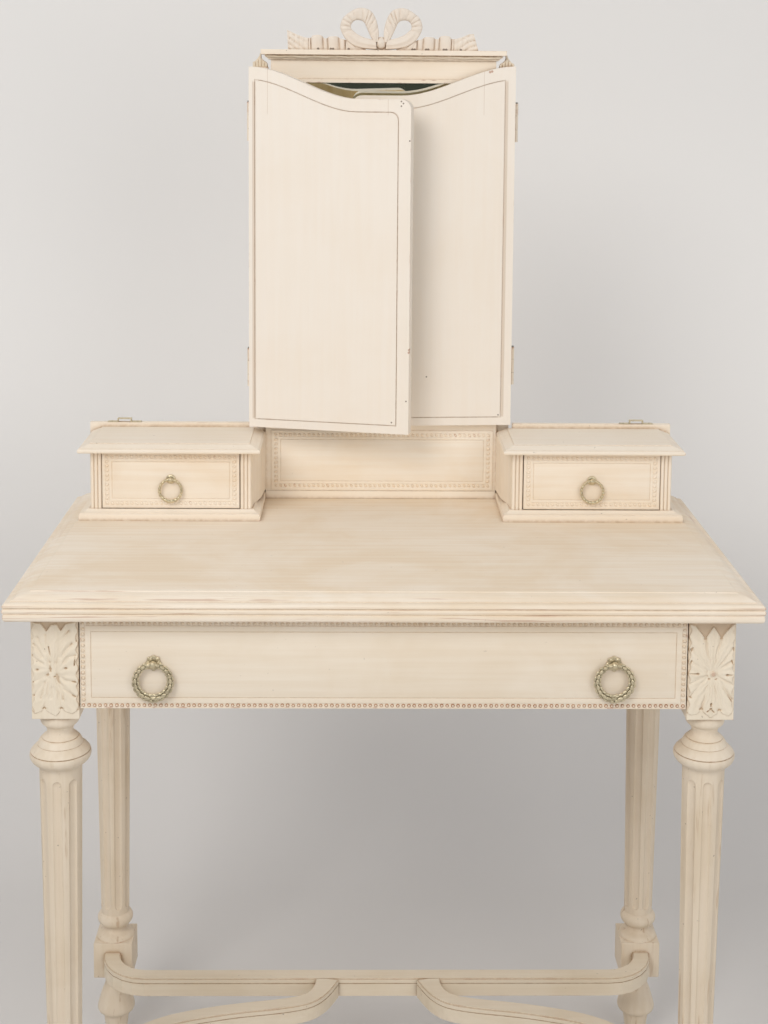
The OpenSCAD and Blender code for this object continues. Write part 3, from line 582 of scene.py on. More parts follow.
def top_paint():
    """The top's paint, rubbed through in dashes along its nose."""
    def touch(r, coat, look):
        nose = r.fall(r.facing("Z"), 0.90, 0.985)
        dashes = r.noise(r.mapped((9, 9, 420), (1.3, 5.2, 0.4)), 1.0, 3, 0.6)
        return r.blend(r.times(r.spread(dashes, 0.58, 0.68), nose, 0.45), coat, look.rubbed)

    painted("Top board paint", "X", warmth=1.1, rubbing=0.9, specks=0.3, wax_and_shade_amount=0.7, touch=touch)


def pale_crown(r, coat, look):
    """Pearls that keep their paint on the crown and are rubbed brown round it."""
    return r.blend(r.spread(r.facing("Y"), -0.97, -0.78, 0.75, 0.0), coat, look.cream)


def bare_wood(name, grain):
    """Bare wood with its bands and pores along one direction."""
    look = bpy.context.scene.vanity_wood
    r = Recipe(name)
    strokes = [3 if axis == grain else 45 for axis in "XYZ"]
    bands = r.noise(r.mapped(strokes), 1.0, 5, 0.6, 1.2)
    pores = r.noise(r.mapped([v * 9 for v in strokes]), 1.0, 2, 0.5)
    coat = r.blend(r.spread(bands, 0.3, 0.7), look.pale, look.dark)
    coat = r.blend(r.times(r.spread(pores, 0.6, 0.75), 0.5), coat, look.dark)
    r.feed(r.shader, {"Base Color": coat, "Roughness": 0.72, "Specular IOR Level": 0.25,
                      "Normal": r.relief(pores, 0.0004, 0.4)})


def dull_brass():
    """Brass with tarnish in its hollows and in blotches."""
    look = bpy.context.scene.vanity_metal
    r = Recipe("Dull brass")
    blotch = r.noise(r.mapped(), 90.0, 4, 0.6)
    fine = r.noise(r.mapped(), 700.0, 3, 0.6)
    low = r.fall(r.hollow(0.0026), 0.4, 0.95)
    dull = r.math("MAXIMUM", r.times(low, 0.85), r.times(r.spread(blotch, 0.45, 0.75), 0.45))
    r.feed(r.shader, {"Base Color": r.blend(dull, look.brass, look.tarnish), "Metallic": 0.85,
                      "Roughness": r.spread(fine, 0.3, 0.7, 0.34, 0.52),
                      "Normal": r.relief(fine, 0.0003, 0.3)})


def pin_steel():
    """Worn steel, brushed along the pins."""
    look = bpy.context.scene.vanity_metal
    r = Recipe("Pin steel")
    fine = r.noise(r.mapped((1, 1, 8)), 300.0, 3, 0.6)
    r.feed(r.shader, {"Base Color": (*look.steel, 1), "Metallic": 0.9,
                      "Roughness": r.spread(fine, 0.3, 0.7, 0.35, 0.55),
                      "Normal": r.relief(fine, 0.0002, 0.3)})


def mirror_glass():
    """Silvered glass with its shading leaning a little forward, old spots and a dull edge."""
    r = Recipe("Mirror glass")
    upright = r.add("ShaderNodeNewGeometry").outputs["Normal"]
    forward_lean = (0, 0, -0.08)
    lean = r.add("ShaderNodeVectorMath", {0: upright, 1: forward_lean}, operation="ADD")
    straight = r.add("ShaderNodeVectorMath", {0: lean.outputs["Vector"]}, operation="NORMALIZE")
    spots = r.spread(r.noise(r.mapped(), 60.0, 4, 0.6), 0.68, 0.76)
    edge = r.fall(r.hollow(0.004), 0.5, 0.95)
    age = r.math("MAXIMUM", r.times(spots, 0.5), r.times(edge, 0.6))
    r.feed(r.shader, {"Base Color": r.blend(age, tint(238, 240, 232), tint(96, 92, 78)), "Metallic": 1.0,
                      "Roughness": r.math("ADD", r.times(age, 0.3), 0.03),
                      "Normal": straight.outputs["Vector"]})


def mix_finishes():
    for grain in "XYZ":
        painted("Cream paint along " + grain, grain)
    for grain in "XY":
        bare_wood("Bare wood along " + grain, grain)
    for mix in (top_paint, carved_paint, leg_paint, crest_paint, rail_paint, dull_brass, pin_steel,
                mirror_glass):
        mix()
    wing_paint("left")
    wing_paint("right")
    # The stretchers' darker coats are painted shade.
    painted("Stretcher paint", "X", warmth=0.6, coats=(tint(228, 215, 194), tint(214, 196, 168)))
    painted("Stile paint", "Z", warmth=0.6, rubbing=0.3, specks=0.2, wax_and_shade_amount=0.3, reach=0.002)
    # The wide drawer's slightly darker coats are painted shade.
    painted("Drawer paint", "X", warmth=0.7, rubbing=0.4, specks=0.15, wax_and_shade_amount=0.6, reach=0.0045,
            coats=(tint(238, 226, 208), tint(226, 208, 182)))
    painted("Pearl paint", "X", warmth=0.9, rubbing=0.6, specks=0.0, wax_and_shade_amount=0.5, reach=0.002,
            coats=(tint(232, 217, 196), tint(214, 192, 162)))
    painted("Rubbed pearl paint", "X", warmth=1.3, rubbing=0.1, specks=0.0, wax_and_shade_amount=0.5, reach=0.002,
            coats=(tint(206, 172, 142), tint(162, 114, 86)), touch=pale_crown)
    painted("Small drawer paint", "X", warmth=0.9, rubbing=0.4, specks=0.15, wax_and_shade_amount=0.55, reach=0.0045)
    painted("Panel paint", "X", warmth=0.8, rubbing=0.4, specks=0.2, wax_and_shade_amount=0.7, reach=0.006,
            coats=(tint(248, 239, 225), tint(241, 224, 200)))
    painted("Rope paint", "X", warmth=1.2, rubbing=0.1, specks=0.0, wax_and_shade_amount=0.45, reach=0.002)


# the finishes of the table's own parts, by slot or by the start of the part's name
BY_SLOT = {"brass": "Dull brass", "pin_steel": "Pin steel", "mirror_glass": "Mirror glass"}
BY_NAME = {
    "top_board": "Top board paint", "leg_": "Leg paint", "stretcher_": "Stretcher paint",
    "box_side_": "Stile paint", "wing_left": "Wing paint left", "wing_right": "Wing paint right",
    "mirror_rail_bottom": "Lower rail paint", "mirror_crest": "Carved paint",
    "mirror_consoles": "Carved paint"}
WOOD_ALONG_X = ("drawer_back", "drawer_bottom", "mirror_backboard")
PAINT_ALONG_X = ("apron_back", "front_rail_", "drawer_front", "small_drawer_front_", "box_", "lid_strips",
                 "back_panel", "mirror_frieze", "mirror_cornice", "mirror_bead")


def own_finish(name, slot):
    """The finish of one of the table's own parts."""
    if slot == "bare_wood":
        return "Bare wood along " + ("X" if name in WOOD_ALONG_X else "Y")
    if slot in BY_SLOT:
        return BY_SLOT[slot]
    for start, finish in BY_NAME.items():
        if name.startswith(start):
            return finish
    if name.startswith(PAINT_ALONG_X):
        return "Cream paint along X"
    return "Cream paint along " + ("Y" if name.startswith("apron_") else "Z")


class VANITY_OT_finishes(Operator):
    """Mixes the paints, woods and metals and lays them on the table's own parts"""
    bl_idname = "vanity.finishes"
    bl_label = "Paint and metal"

    def execute(self, context):
        mix_finishes()
        slots = {part["node"]: part["material_slot"] for part in frame["record"]["subparts"]}
        for name, piece in nodes.items():
            piece.data.materials.clear()
            piece.data.materials.append(finishes[own_finish(name, slots.get(name))])
        return {"FINISHED"}


# ---------------------------------------------------------------- legs
BLOCK = 0.026          # half the width of the square blocks
CARVED = 0.0030        # how far the carving stands before its ground
UPPER_BLOCK = 0.1164   # height of the block under the top
LOW_BLOCK = 0.049      # height of the block where the stretcher joins
LAP = 0.0012           # how far the upper block reaches down over the ring below it
# turned outlines, each point a radius in metres and a height in millimetres: down from the upper
# block, down to the low block, and up from the floor
UPPER = ((0.0205, 0), (0.0211, -3), (0.0216, -6), (0.0217, -9), (0.0213, -11), (0.0204, -12.8),
         (0.0188, -14.4), (0.0168, -16.2), (0.0158, -16.9), (0.0157, -18), (0.0148, -19.2), (0.0144, -21.5),
         (0.0144, -23), (0.0149, -25), (0.0165, -26.9), (0.0186, -28.3), (0.02, -29.5), (0.0197, -30.3),
         (0.0212, -30.8), (0.0224, -32), (0.0239, -34.6), (0.0252, -37.2), (0.0249, -37.6), (0.0259, -38.1),
         (0.0275, -39.8), (0.0302, -42.2), (0.0322, -44.6), (0.0328, -45.4), (0.0319, -46), (0.0333, -46.6),
         (0.0338, -48.4), (0.0338, -50.6), (0.0331, -53.2), (0.0318, -55.4), (0.0298, -57.6),
         (0.0272, -59.6), (0.0255, -61), (0.0246, -62.6), (0.0238, -64.4), (0.0235, -66))
LOWER = ((0.0188, 0), (0.0204, -1.5), (0.0224, -4), (0.0236, -6.5), (0.0238, -8.5), (0.0236, -10.6),
         (0.0232, -12), (0.0222, -14), (0.021, -15.5), (0.0198, -17), (0.0163, -18), (0.0156, -19.6),
         (0.0153, -21.6), (0.0156, -24.2), (0.0172, -26.5), (0.0196, -28), (0.0215, -29), (0.0232, -30.4),
         (0.0244, -31.8), (0.0257, -35))
FOOT = ((0.0001, 0), (0.012, 0), (0.0125, 2.5), (0.0130, 5), (0.0148, 16), (0.0168, 31), (0.0172, 34.5),
        (0.0178, 36), (0.020, 37.2), (0.0222, 38.6), (0.0240, 40.4), (0.0250, 42.6), (0.0252, 44.6),
        (0.0249, 47), (0.0240, 50.5), (0.0230, 54), (0.0215, 59), (0.020, 64), (0.0184, 68.6),
        (0.0168, 72.5), (0.0155, 75.8), (0.0147, 78.2), (0.0142, 80.6), (0.014, 83.3), (0.014, 98))
FLUTES, CORNERS = 8, 96                    # round the shaft
FLUTE_DEPTH, FLUTE_ROUND = 0.0024, 0.007   # how deep a flute is, and the radius of its hollow
FLUTE_STOP = 0.012                         # from the shaft's end to the flute's
FLUTE_END = 0.0062                         # length over which a flute's round end sinks in


def leg_column(centre, foot_z, top_z, turn):
    """The turned part above the low block, with eight stopped flutes shaped into its shaft."""
    shaft_top, shaft_low = top_z + UPPER[-1][1] / 1000, foot_z - LOWER[-1][1] / 1000
    first = shaft_top - FLUTE_STOP + FLUTE_ROUND * 0.62
    last = shaft_low + FLUTE_STOP - FLUTE_ROUND * 0.62
    # rings stand close together at both ends of the flutes, so that they end round
    stops = (0, 0.0006, 0.0014, 0.0026, 0.004, 0.0058, 0.008)
    heights = [first - s for s in stops] + [
        first + (last - first) * k / 9 for k in range(1, 9)] + [last + s for s in reversed(stops)]
    low_radius, top_radius = LOWER[0][0], UPPER[-1][0]

    def radius_at(z):
        return low_radius + (top_radius - low_radius) * (z - shaft_low) / (shaft_top - shaft_low)

    outline = [(r, top_z + z / 1000) for r, z in UPPER]
    outline += [(radius_at(z), z) for z in heights]
    outline += [(r, shaft_low + z / 1000) for r, z in LOWER]
    piece = turned("Leg column", outline, centre, CORNERS)
    each = CORNERS // FLUTES
    hollow = each // 3      # corners that lie in the hollow, on each side of its middle
    for vertex in piece.data.vertices:
        z = vertex.co.z
        if not last - 1e-6 < z < first + 1e-6:
            continue
        near_end = min(first - z, z - last)
        share = math.sqrt(max(0.0, 1 - max(0.0, 1 - near_end / FLUTE_END) ** 2))
        r = r0 = radius_at(z)
        half = math.sqrt(FLUTE_ROUND ** 2 - (FLUTE_ROUND - FLUTE_DEPTH) ** 2) / r0 * max(0.05, share)
        round_it = math.atan2(vertex.co.y - centre[1], vertex.co.x - centre[0]) / (2 * math.pi)
        corner = round(round_it * CORNERS) - round(turn / 360 * CORNERS)
        flute, place = divmod(corner + each // 2, each)
        middle = math.radians(turn) + flute * 2 * math.pi / FLUTES
        place -= each // 2
        if abs(place) <= hollow:
            angle = half * place / hollow
            r -= FLUTE_DEPTH * share * math.sqrt(max(0.0, 1 - (place / hollow) ** 2))
        else:
            rest = (math.pi / FLUTES - half) * (abs(place) - hollow) / (each // 2 - hollow)
            angle = math.copysign(half + rest, place)
        vertex.co.x = centre[0] + r * math.cos(middle + angle)
        vertex.co.y = centre[1] + r * math.sin(middle + angle)
    outward(piece)
    smooth(piece, 42)
    return piece


def whole_leg(node, turn, set_back):
    """One leg: its column, foot and two blocks. Gives its middle and the carved face's two heights."""
    low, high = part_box(node)
    x, y = centre = ((low.x + high.x) / 2, (low.y + high.y) / 2)
    foot_top = FOOT[-1][1] / 1000
    top_z, foot_z = high.z - UPPER_BLOCK, foot_top + LOW_BLOCK
    column = leg_column(centre, foot_z, top_z, turn)
    foot = turned("Foot", [(r, z / 1000) for r, z in FOOT], centre, CORNERS // 2)
    outward(foot)
    smooth(foot, 40)
    upper = board("Upper block", (x - BLOCK, y - BLOCK + set_back, top_z - LAP),
                  (x + BLOCK, y + BLOCK, high.z), 0.0007, 2)
    lower = board("Low block", (x - BLOCK, y - BLOCK, foot_top), (x + BLOCK, y + BLOCK, foot_z), 0.0011, 3)
    smooth(upper, 30)
    smooth(lower, 30)
    leg = join([column, foot, upper, lower], node)
    fit(leg, node + "_turned", "Leg paint", "table", node)
    return centre, top_z - LAP, high.z


def near_path(x, z, points):
    """Distance from a place to a line through points, and how far along the line it lies."""
    best, share = 99.0, 0.0
    for i, ((x0, z0), (x1, z1)) in enumerate(zip(points, points[1:])):
        dx, dz = x1 - x0, z1 - z0
        t = min(1.0, max(0.0, ((x - x0) * dx + (z - z0) * dz) / (dx * dx + dz * dz)))
        d = math.hypot(x - x0 - t * dx, z - z0 - t * dz)
        if d < best:
            best, share = d, (i + t) / (len(points) - 1)
    return best, share


def height_on(points, x):
    """Height of a zigzag outline at x."""
    for (x0, z0), (x1, z1) in zip(points, points[1:]):
        if x0 <= x <= x1:
            return z0 + (z1 - z0) * (x - x0) / (x1 - x0)
    return points[-1][1]


# the two carvings, in millimetres from the middle of the block: the place of their middle, the radius
# of the boss on it, the number of ribs round it, outlines of the leaves at the head and the foot, seams
# between leaves, short dark cuts, and eyes, each with its size
ROSETTE = {
    "aside": 2.2, "middle": -6.4, "boss": 3.4, "ribs": 26,
    "head": ((-27, 50), (-19, 48), (-12.6, 40), (-7.4, 33.2), (-3.2, 40), (1.2, 47), (5.4, 41), (9.9, 33.6),
             (15, 41), (22, 49), (27, 52)),
    "foot": ((-27, -50), (-20.6, -53), (-15, -51.8), (-9.9, -46.6), (-4.6, -52), (0.6, -56), (5.4, -52.6),
             (10.3, -47.6), (14, -51.4), (19.7, -54), (23.4, -50.5), (27, -44)),
    "seams": (((-1.6, -2), (-7.4, 34)), ((2, -2), (9.9, 34.4)), ((-3.6, -4), (-22, 22)),
              ((4, -4), (23.7, 22.9)), ((-4, -5.4), (-22.5, 7.7)), ((4.4, -5.6), (22, 8.4)),
              ((-2, -12), (-9.9, -46.8)), ((2.4, -12), (10.3, -48)), ((-4, -9.6), (-23, -32.7)),
              ((4.4, -9.6), (23.6, -35.3)), ((-4.4, -8.4), (-24, -18)), ((4.6, -8.4), (24.4, -19))),
    "cuts": (((-26, -6), (-14, -6.2)), ((26, -7.6), (18, -7.4)), ((0.6, -39), (0.5, -43)),
             ((0.3, -46.2), (-3.4, -49.4)), ((0.3, -46.2), (4.2, -49.8)), ((-24, 17), (-21, 23)),
             ((25, 16), (23.4, 23.6)), ((-24, 3), (-22, 8.6)), ((24.6, 2.4), (21.8, 9)),
             ((-25.6, -31), (-21.4, -33.4)), ((18.4, -30), (23.4, -38))),
    "eyes": ((-14.9, -6.2, 1.5), (17.6, -7.4, 1.6), (0.6, -40.4, 0.9), (-2.2, -12.2, 1.2),
             (5.0, -12.4, 1.2), (-9.9, -46.6, 1.9), (10.3, -47.8, 1.9), (0.4, -46.0, 1.3),
             (-7.4, 33.4, 1.3), (9.9, 33.8, 1.3)),
}
ACANTHUS = {
    "aside": -2.0, "middle": -5.0, "boss": 0.0, "ribs": 22,
    "head": ((-27, 50), (-15, 49), (-8.6, 40), (-4, 47), (2.4, 48), (6.8, 40.6), (12, 48), (27, 52)),
    "foot": ((-27, -48), (-22.4, -52.2), (-16, -50), (-12.5, -46.2), (-8, -50), (-0.3, -55), (4, -51),
             (6.5, -46.2), (11, -50), (17.9, -52.4), (23, -49), (27, -47)),
    "seams": (((-6.7, -13), (-8.9, -29), (-12.5, -47.2)), ((1, -13), (2.6, -27.5), (6.5, -47.2)),
              ((-9, -11.6), (-11.8, -21.7), (-15.7, -34.8)), ((3.1, -13), (4.9, -21.7), (8.6, -36.3)),
              ((-10, -8.7), (-17.1, -13.7), (-25.6, -17.4)), ((3.2, -8.7), (12, -15.2), (21.7, -16.6)),
              ((-12.4, -17.4), (-18.9, -26.1), (-25.3, -33.3)), ((3, -12), (8, -24), (21.2, -33.3)),
              ((9.9, 5.9), (14.2, 11), (21.9, 13.1)), ((-13.8, 4.4), (-19.3, 7.3), (-25.3, 13.1)),
              ((-6.1, 5.9), (-7.8, 17.5), (-10, 36.4)),
              ((1.5, 5.9), (3.6, 17.5), (7.1, 30.6), (15.1, 40.8)),
              ((-13.6, 11.7), (-18, 20), (-22.9, 26.2)), ((-11.3, 17.5), (-15, 25), (-18.5, 33.5)),
              ((6, 11.7), (12, 19), (18.8, 26.2)), ((-5.5, 5), (-5.2, -3), (-8, -9)),
              ((0.8, 4), (0.2, -4), (1.5, -9)), ((-3.6, -24), (-4, -34))),
    "cuts": (((-26, -17.8), (-23.5, -17)), ((-26, -33.8), (-23, -32)), ((-26, 12), (-24.6, 14)),
             ((-26, -2), (-24.8, -4)), ((23.6, 36), (23.6, 29)), ((22, 12), (21, 2)),
             ((18, -16), (22.5, -17)), ((18, -31.5), (22, -33.4)), ((-5.6, 2), (-4.6, -5)),
             ((-5, 13), (-6.6, 23))),
    "eyes": ((-19.2, -2.8, 1.6), (11.7, -1.1, 1.5), (-5, -2, 1.2), (-0.3, -10.8, 1.1), (-8, -8.6, 1.0),
             (-12.5, -46.8, 1.8), (6.5, -46.8, 1.8)),
}


def carving(x, z, plan, phase):
    """Height of the carved leaves over the sunk ground, in millimetres, from 0 to 3."""
    wander = 0.5 * math.sin(z * 0.29 + phase) + 0.3 * math.sin(z * 0.71 + 2 * phase)
    x0, z0 = x - plan["aside"] + wander, z - plan["middle"] + 0.5 * math.sin(x * 0.33 + phase)
    far = math.hypot(x0 / 26, z0 / 48)
    round_it = math.atan2(z0 / 48, x0 / 26)
    reach = math.hypot(x0, z0)
    rib = math.cos(plan["ribs"] * round_it + 1.2 * math.sin(reach * 0.18 + phase))
    h = 2.1 + 0.5 * math.sin(min(1.0, far) * math.pi) + 0.26 * rib * min(1.0, max(0.0, (reach - 5) / 9))
    for path in plan["seams"]:
        d, t = near_path(x + wander * 0.5, z, path)
        if d < 6:
            h -= (0.15 + 0.6 * t ** 3) * math.exp(-(d / 0.8) ** 2) + 0.95 * math.exp(-(d / 2.3) ** 2)
    for path in plan["cuts"]:
        d, t = near_path(x, z, path)
        if d < 2.4:
            h -= 1.7 * math.exp(-(d / 0.55) ** 2) * min(1.0, 0.35 + t)
    for ex, ez, size in plan["eyes"]:
        h -= 2.6 * math.exp(-((x - ex) / size) ** 2 - ((z - ez) / (0.62 * size)) ** 2)
    if plan["boss"] and reach < plan["boss"] * 1.9:
        r = plan["boss"]
        h -= 1.0 * math.exp(-((reach - r * 1.2) / 0.7) ** 2)
        h = max(h, 0.9 + 2.0 * math.sqrt(max(0.0, 1 - (reach / r) ** 2)))
    above = z - height_on(plan["head"], x)
    below = height_on(plan["foot"], x) - z
    if above > 0:
        h = max(0.25, h - above * 3.2)
    if below > 0:
        h = max(0.95 + 0.06 * below, h - below * 2.4)
    beside = abs(x) - 24.8 + 2.4 * math.sin((z + 3 * phase) * math.pi / 14) ** 2
    if beside > 0 and above < 0 and below < 0:
        h = max(0.7, h - beside * 1.5)
    return min(2.96, max(0.1, h))


def carved_panel(name, centre, low_z, high_z, plan, phase):
    """The carved face of a front block, with its edges running back to the block."""
    half_w, half_h = BLOCK * 1000 - 0.1, (high_z - low_z) * 500
    middle_z, face_y = (low_z + high_z) / 2, centre[1] - BLOCK + CARVED
    piece = new_piece(bpy.ops.mesh.primitive_grid_add, x_subdivisions=118, y_subdivisions=256, size=2)
    for vertex in piece.data.vertices:
        x, z = vertex.co.x * half_w, vertex.co.y * half_h
        edge = min(half_w - abs(x), half_h + z)
        h = carving(x, z, plan, phase) * min(1.0, 0.78 + edge / 4)
        vertex.co = (centre[0] + x / 1000, face_y - h / 1000, middle_z + z / 1000)
    run_back(piece, face_y + 0.0004)
    flat = [face.normal.y for face in piece.data.polygons if abs(face.normal.y) > 0.5]
    if sum(math.copysign(1, y) for y in flat) > 0:
        edit_all(piece)
        bpy.ops.mesh.flip_normals()
        bpy.ops.object.mode_set(mode="OBJECT")
    smooth(piece, 55)
    fit(piece, name, "Carved paint", "table")


class VANITY_OT_legs(Operator):
    """Turns and flutes the four legs and carves a leaf and a rosette on the two front blocks"""
    bl_idname = "vanity.legs"
    bl_label = "Legs and carvings"

    def execute(self, context):
        for side, plan, phase in (("left", ACANTHUS, 0.4), ("right", ROSETTE, 2.1)):
            node = "leg_front_" + side
            centre, low_z, high_z = whole_leg(node, 0, CARVED)
            carved_panel(node + "_carving", centre, low_z, high_z, plan, phase)
        for side in ("left", "right"):
            whole_leg("leg_back_" + side, 180 / FLUTES, 0)
        return {"FINISHED"}


# ---------------------------------------------------------------- beaded and roped fronts
# each band of a front: its width across the face and how far it drops, in metres
BEADED = ((0.0009, 0), (0.0004, 0.0008), (0.0042, 0), (0.0004, -0.0008), (0.0056, 0),
          (0.0004, 0.0008), (0.0003, 0), (0.0004, -0.0008))
ROPED = ((0.0034, 0), (0.0005, 0.0005), (0.0046, 0), (0.0005, -0.0005), (0.0028, 0),
         (0.0004, 0.0007), (0.0003, 0), (0.0004, -0.0007))


def banded_front(name, low, high, bands):
    """A board whose front face is worked in bands from its edge inwards."""
    piece = board(name, low, high)
    edit_some(piece, "FACE", lambda face: face.normal.y < -0.9)
    for width, drop in bands:
        bpy.ops.mesh.inset(thickness=width, depth=-drop)
    bpy.ops.object.mode_set(mode="OBJECT")
    ease(piece, 0.0004, 2, 50)
    smooth(piece, 30)
    return piece


def chance(k, salt):
    """A steady pseudo-random number from 0 to 1 for a counting number."""
    return (math.sin(k * 12.9898 + salt * 78.233) * 43758.5453) % 1.0


def bead_line(start, end, count, size, tilt, salt):
    """A straight row of carved beads; size is along the row, off the face and across the row."""
    start, end = Vector(start), Vector(end)
    run = end - start
    bead = new_piece(bpy.ops.mesh.primitive_uv_sphere_add, segments=10, ring_count=7, radius=1)
    bead.scale = size
    apply_place()
    bead.rotation_euler = (0, tilt + (math.pi / 2 if abs(run.z) > abs(run.x) else 0), 0)
    bead.location = start
    apply_place()
    bpy.ops.object.shade_smooth()
    each = len(bead.data.vertices)
    rows_along(bead, run / max(1, count - 1), count)
    for i, vertex in enumerate(bead.data.vertices):
        k = i // each
        middle = start + run * (k / max(1, count - 1))
        grow = 0.93 + 0.12 * chance(k, salt)
        vertex.co = middle + (vertex.co - middle) * grow
        vertex.co.x += (chance(k, salt + 3) - 0.5) * 0.0003
        vertex.co.z += (chance(k, salt + 5) - 0.5) * 0.0003
    return bead


def bead_border(low, high, inset, pitch, size, tilt, sink, salt):
    """Rows of beads round a front, set in from its edges: the lower row first."""
    x0, x1, z0, z1 = low.x + inset, high.x - inset, low.z + inset, high.z - inset
    y = low.y + sink
    nx, nz = round((x1 - x0) / pitch), round((z1 - z0) / pitch)
    dz = (z1 - z0) / nz
    return [bead_line((x0, y, z0), (x1, y, z0), nx + 1, size, tilt, salt),
            bead_line((x0, y, z1), (x1, y, z1), nx + 1, size, tilt, salt + 1),
            bead_line((x0, y, z0 + dz), (x0, y, z1 - dz), nz - 1, size, tilt, salt + 2),
            bead_line((x1, y, z0 + dz), (x1, y, z1 - dz), nz - 1, size, tilt, salt + 3)]


def rope_border(name, body, low, high, salt):
    """A rope laid round a front: long beads that lean over one another."""
    inset, size, tilt, sink = 0.0062, (0.0017, 0.0014, 0.0024), -0.62, 0.0006
    pitch = bpy.context.scene.vanity_carving.rope
    rope = join(bead_border(low, high, inset, pitch, size, tilt, sink, salt), name)
    fit(rope, name, "Rope paint", body)


class VANITY_OT_wide_front(Operator):
    """Cuts the wide drawer's front with its bands and strings pearls round it"""
    bl_idname = "vanity.wide_front"
    bl_label = "Wide drawer's front"

    def execute(self, context):
        low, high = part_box("drawer_front")
        front = banded_front("Wide front", low, high, BEADED)
        fit(front, "drawer_front_worked", "Drawer paint", "wide_drawer", "drawer_front")
        pitch, inset, r, sink = context.scene.vanity_carving.pearl, 0.0033, 0.00205, 0.0013
        lower, *others = bead_border(low, high, inset, pitch, (r * 1.04, r, r), 0, sink, 1)
        fit(lower, "drawer_pearls_lower", "Rubbed pearl paint", "wide_drawer")
        fit(join(others, "Pearls"), "drawer_pearls", "Pearl paint", "wide_drawer")
        return {"FINISHED"}


class VANITY_OT_roped_fronts(Operator):
    """Cuts the small drawers' fronts and the back panel and lays ropes round them"""
    bl_idname = "vanity.roped_fronts"
    bl_label = "Roped fronts"

    def execute(self, context):
        for side, salt in (("left", 10), ("right", 20)):
            node, body = "small_drawer_front_" + side, "small_drawer_" + side
            low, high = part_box(node)
            fit(banded_front(node, low, high, ROPED), node + "_worked", "Small drawer paint", body, node)
            rope_border("small_rope_" + side, body, low, high, salt)
        low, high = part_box("back_panel")
        frame_board = board("frame", (low.x, low.y + 0.0010, low.z), high)
        sill = board("sill", low, (high.x, high.y - 0.0005, low.z + 0.0100), 0.0005)
        fit(frame_board, "back_panel_frame", "Panel paint", "table")
        fit(sill, "back_panel_sill", "Panel paint", "table")
        left, foot, right, head = 0.0076, 0.0112, 0.0042, 0.0094      # margins round the raised field
        low = Vector((low.x + left, low.y, low.z + foot))
        high = Vector((high.x - right, high.y - 0.0005, high.z - head))
        panel = banded_front("back_panel", low, high, ROPED)
        fit(panel, "back_panel_worked", "Panel paint", "table", "back_panel")
        rope_border("panel_rope", "table", low, high, 30)
        return {"FINISHED"}


# ---------------------------------------------------------------- ring pulls
def blob(place, size, turn):
    """One small rounded leaf or petal."""
    piece = new_piece(bpy.ops.mesh.primitive_ico_sphere_add, subdivisions=2, radius=1,
                      location=place, rotation=turn, scale=size)
    bpy.ops.object.shade_smooth()
    return piece


# the two kinds of ring pull, in metres: the ring's middle over its foot and its eye over the middle, its
# radius and thickness, a leaf's size, and the lanes of leaves, outwards and forwards by the thickness
LARGE_PULL = {"middle": 0.0223, "eye": 0.0185, "radius": 0.0191, "tube": 0.0032,
              "leaf": (0.0016, 0.0011, 0.0030), "lanes": ((-0.68, 0.25), (0, 0.80), (0.62, 0.25))}
SMALL_PULL = {"middle": 0.0174, "eye": 0.0144, "radius": 0.0139, "tube": 0.0026,
              "leaf": (0.0017, 0.0015, 0.0025), "lanes": ((0, 0.35),)}


def wreath(node, body, pull, leaves):
    """A ring wound with leaves from its foot up both sides to its eye. Gives the eye's X and Z."""
    low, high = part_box(node)
    radius, tube = pull["radius"], pull["tube"]
    x, y = (low.x + high.x) / 2, (low.y + high.y) / 2
    eye = low.z + pull["middle"] + pull["eye"]
    z = eye + 0.0006 - radius
    pieces = [new_piece(bpy.ops.mesh.primitive_torus_add, location=(x, y, z), rotation=(math.pi / 2, 0, 0),
                        major_segments=64, minor_segments=14, major_radius=radius, minor_radius=tube * 0.66)]
    bpy.ops.object.shade_smooth()
    for k in range(leaves):
        swell = 1.34 - 0.42 * k / leaves
        grown = tuple(v * swell for v in pull["leaf"])
        for hand in (-1, 1):
            angle = (k + 0.5) / leaves * (math.pi - 0.28)
            a = -math.pi / 2 + hand * angle
            for lane, (out, fore) in enumerate(pull["lanes"]):
                r = radius + out * tube * swell
                shift = 0.5 * (lane % 2) / leaves * math.pi
                b = a + hand * shift
                place = (x + r * math.cos(b), y - fore * tube, z + r * math.sin(b))
                lean = 0.36 * out
                pieces.append(blob(place, grown, (0, -b - hand * lean + (0 if hand > 0 else math.pi), 0)))
    pieces.append(new_piece(
        bpy.ops.mesh.primitive_cylinder_add, vertices=20, radius=tube * 0.45, depth=tube * 3.2,
        location=(x, y, z + radius - 0.0006), rotation=(0, math.pi / 2, 0)))
    fit(join(pieces, node), node + "_wreath", "Dull brass", body, node)
    return x, eye


def petals(name, x, y, z, radius, count):
    """A ring of petals on a pull's mount."""
    pieces = []
    for k in range(count):
        a = 2 * math.pi * k / count
        place = (x + radius * 0.68 * math.cos(a), y, z + radius * 0.68 * math.sin(a))
        pieces.append(blob(place, (radius * 0.42, 0.0011, radius * 0.25), (0, -a, 0)))
    fit(join(pieces, name), name, "Dull brass", "wide_drawer")


class VANITY_OT_pulls(Operator):
    """Winds the leaves round the ring pulls and sets petals on their mounts"""
    bl_idname = "vanity.pulls"
    bl_label = "Ring pulls"

    def execute(self, context):
        leaves = context.scene.vanity_carving.leaves // 2
        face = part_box("drawer_front")[0].y
        for side in ("left", "right"):
            x, eye = wreath("pull_ring_" + side, "ring_" + side, LARGE_PULL, leaves)
            petals("pull_petals_" + side, x, face - 0.0012, eye, 0.0084, 8)
            wreath("small_pull_ring_" + side, "small_ring_" + side, SMALL_PULL, leaves)
        return {"FINISHED"}


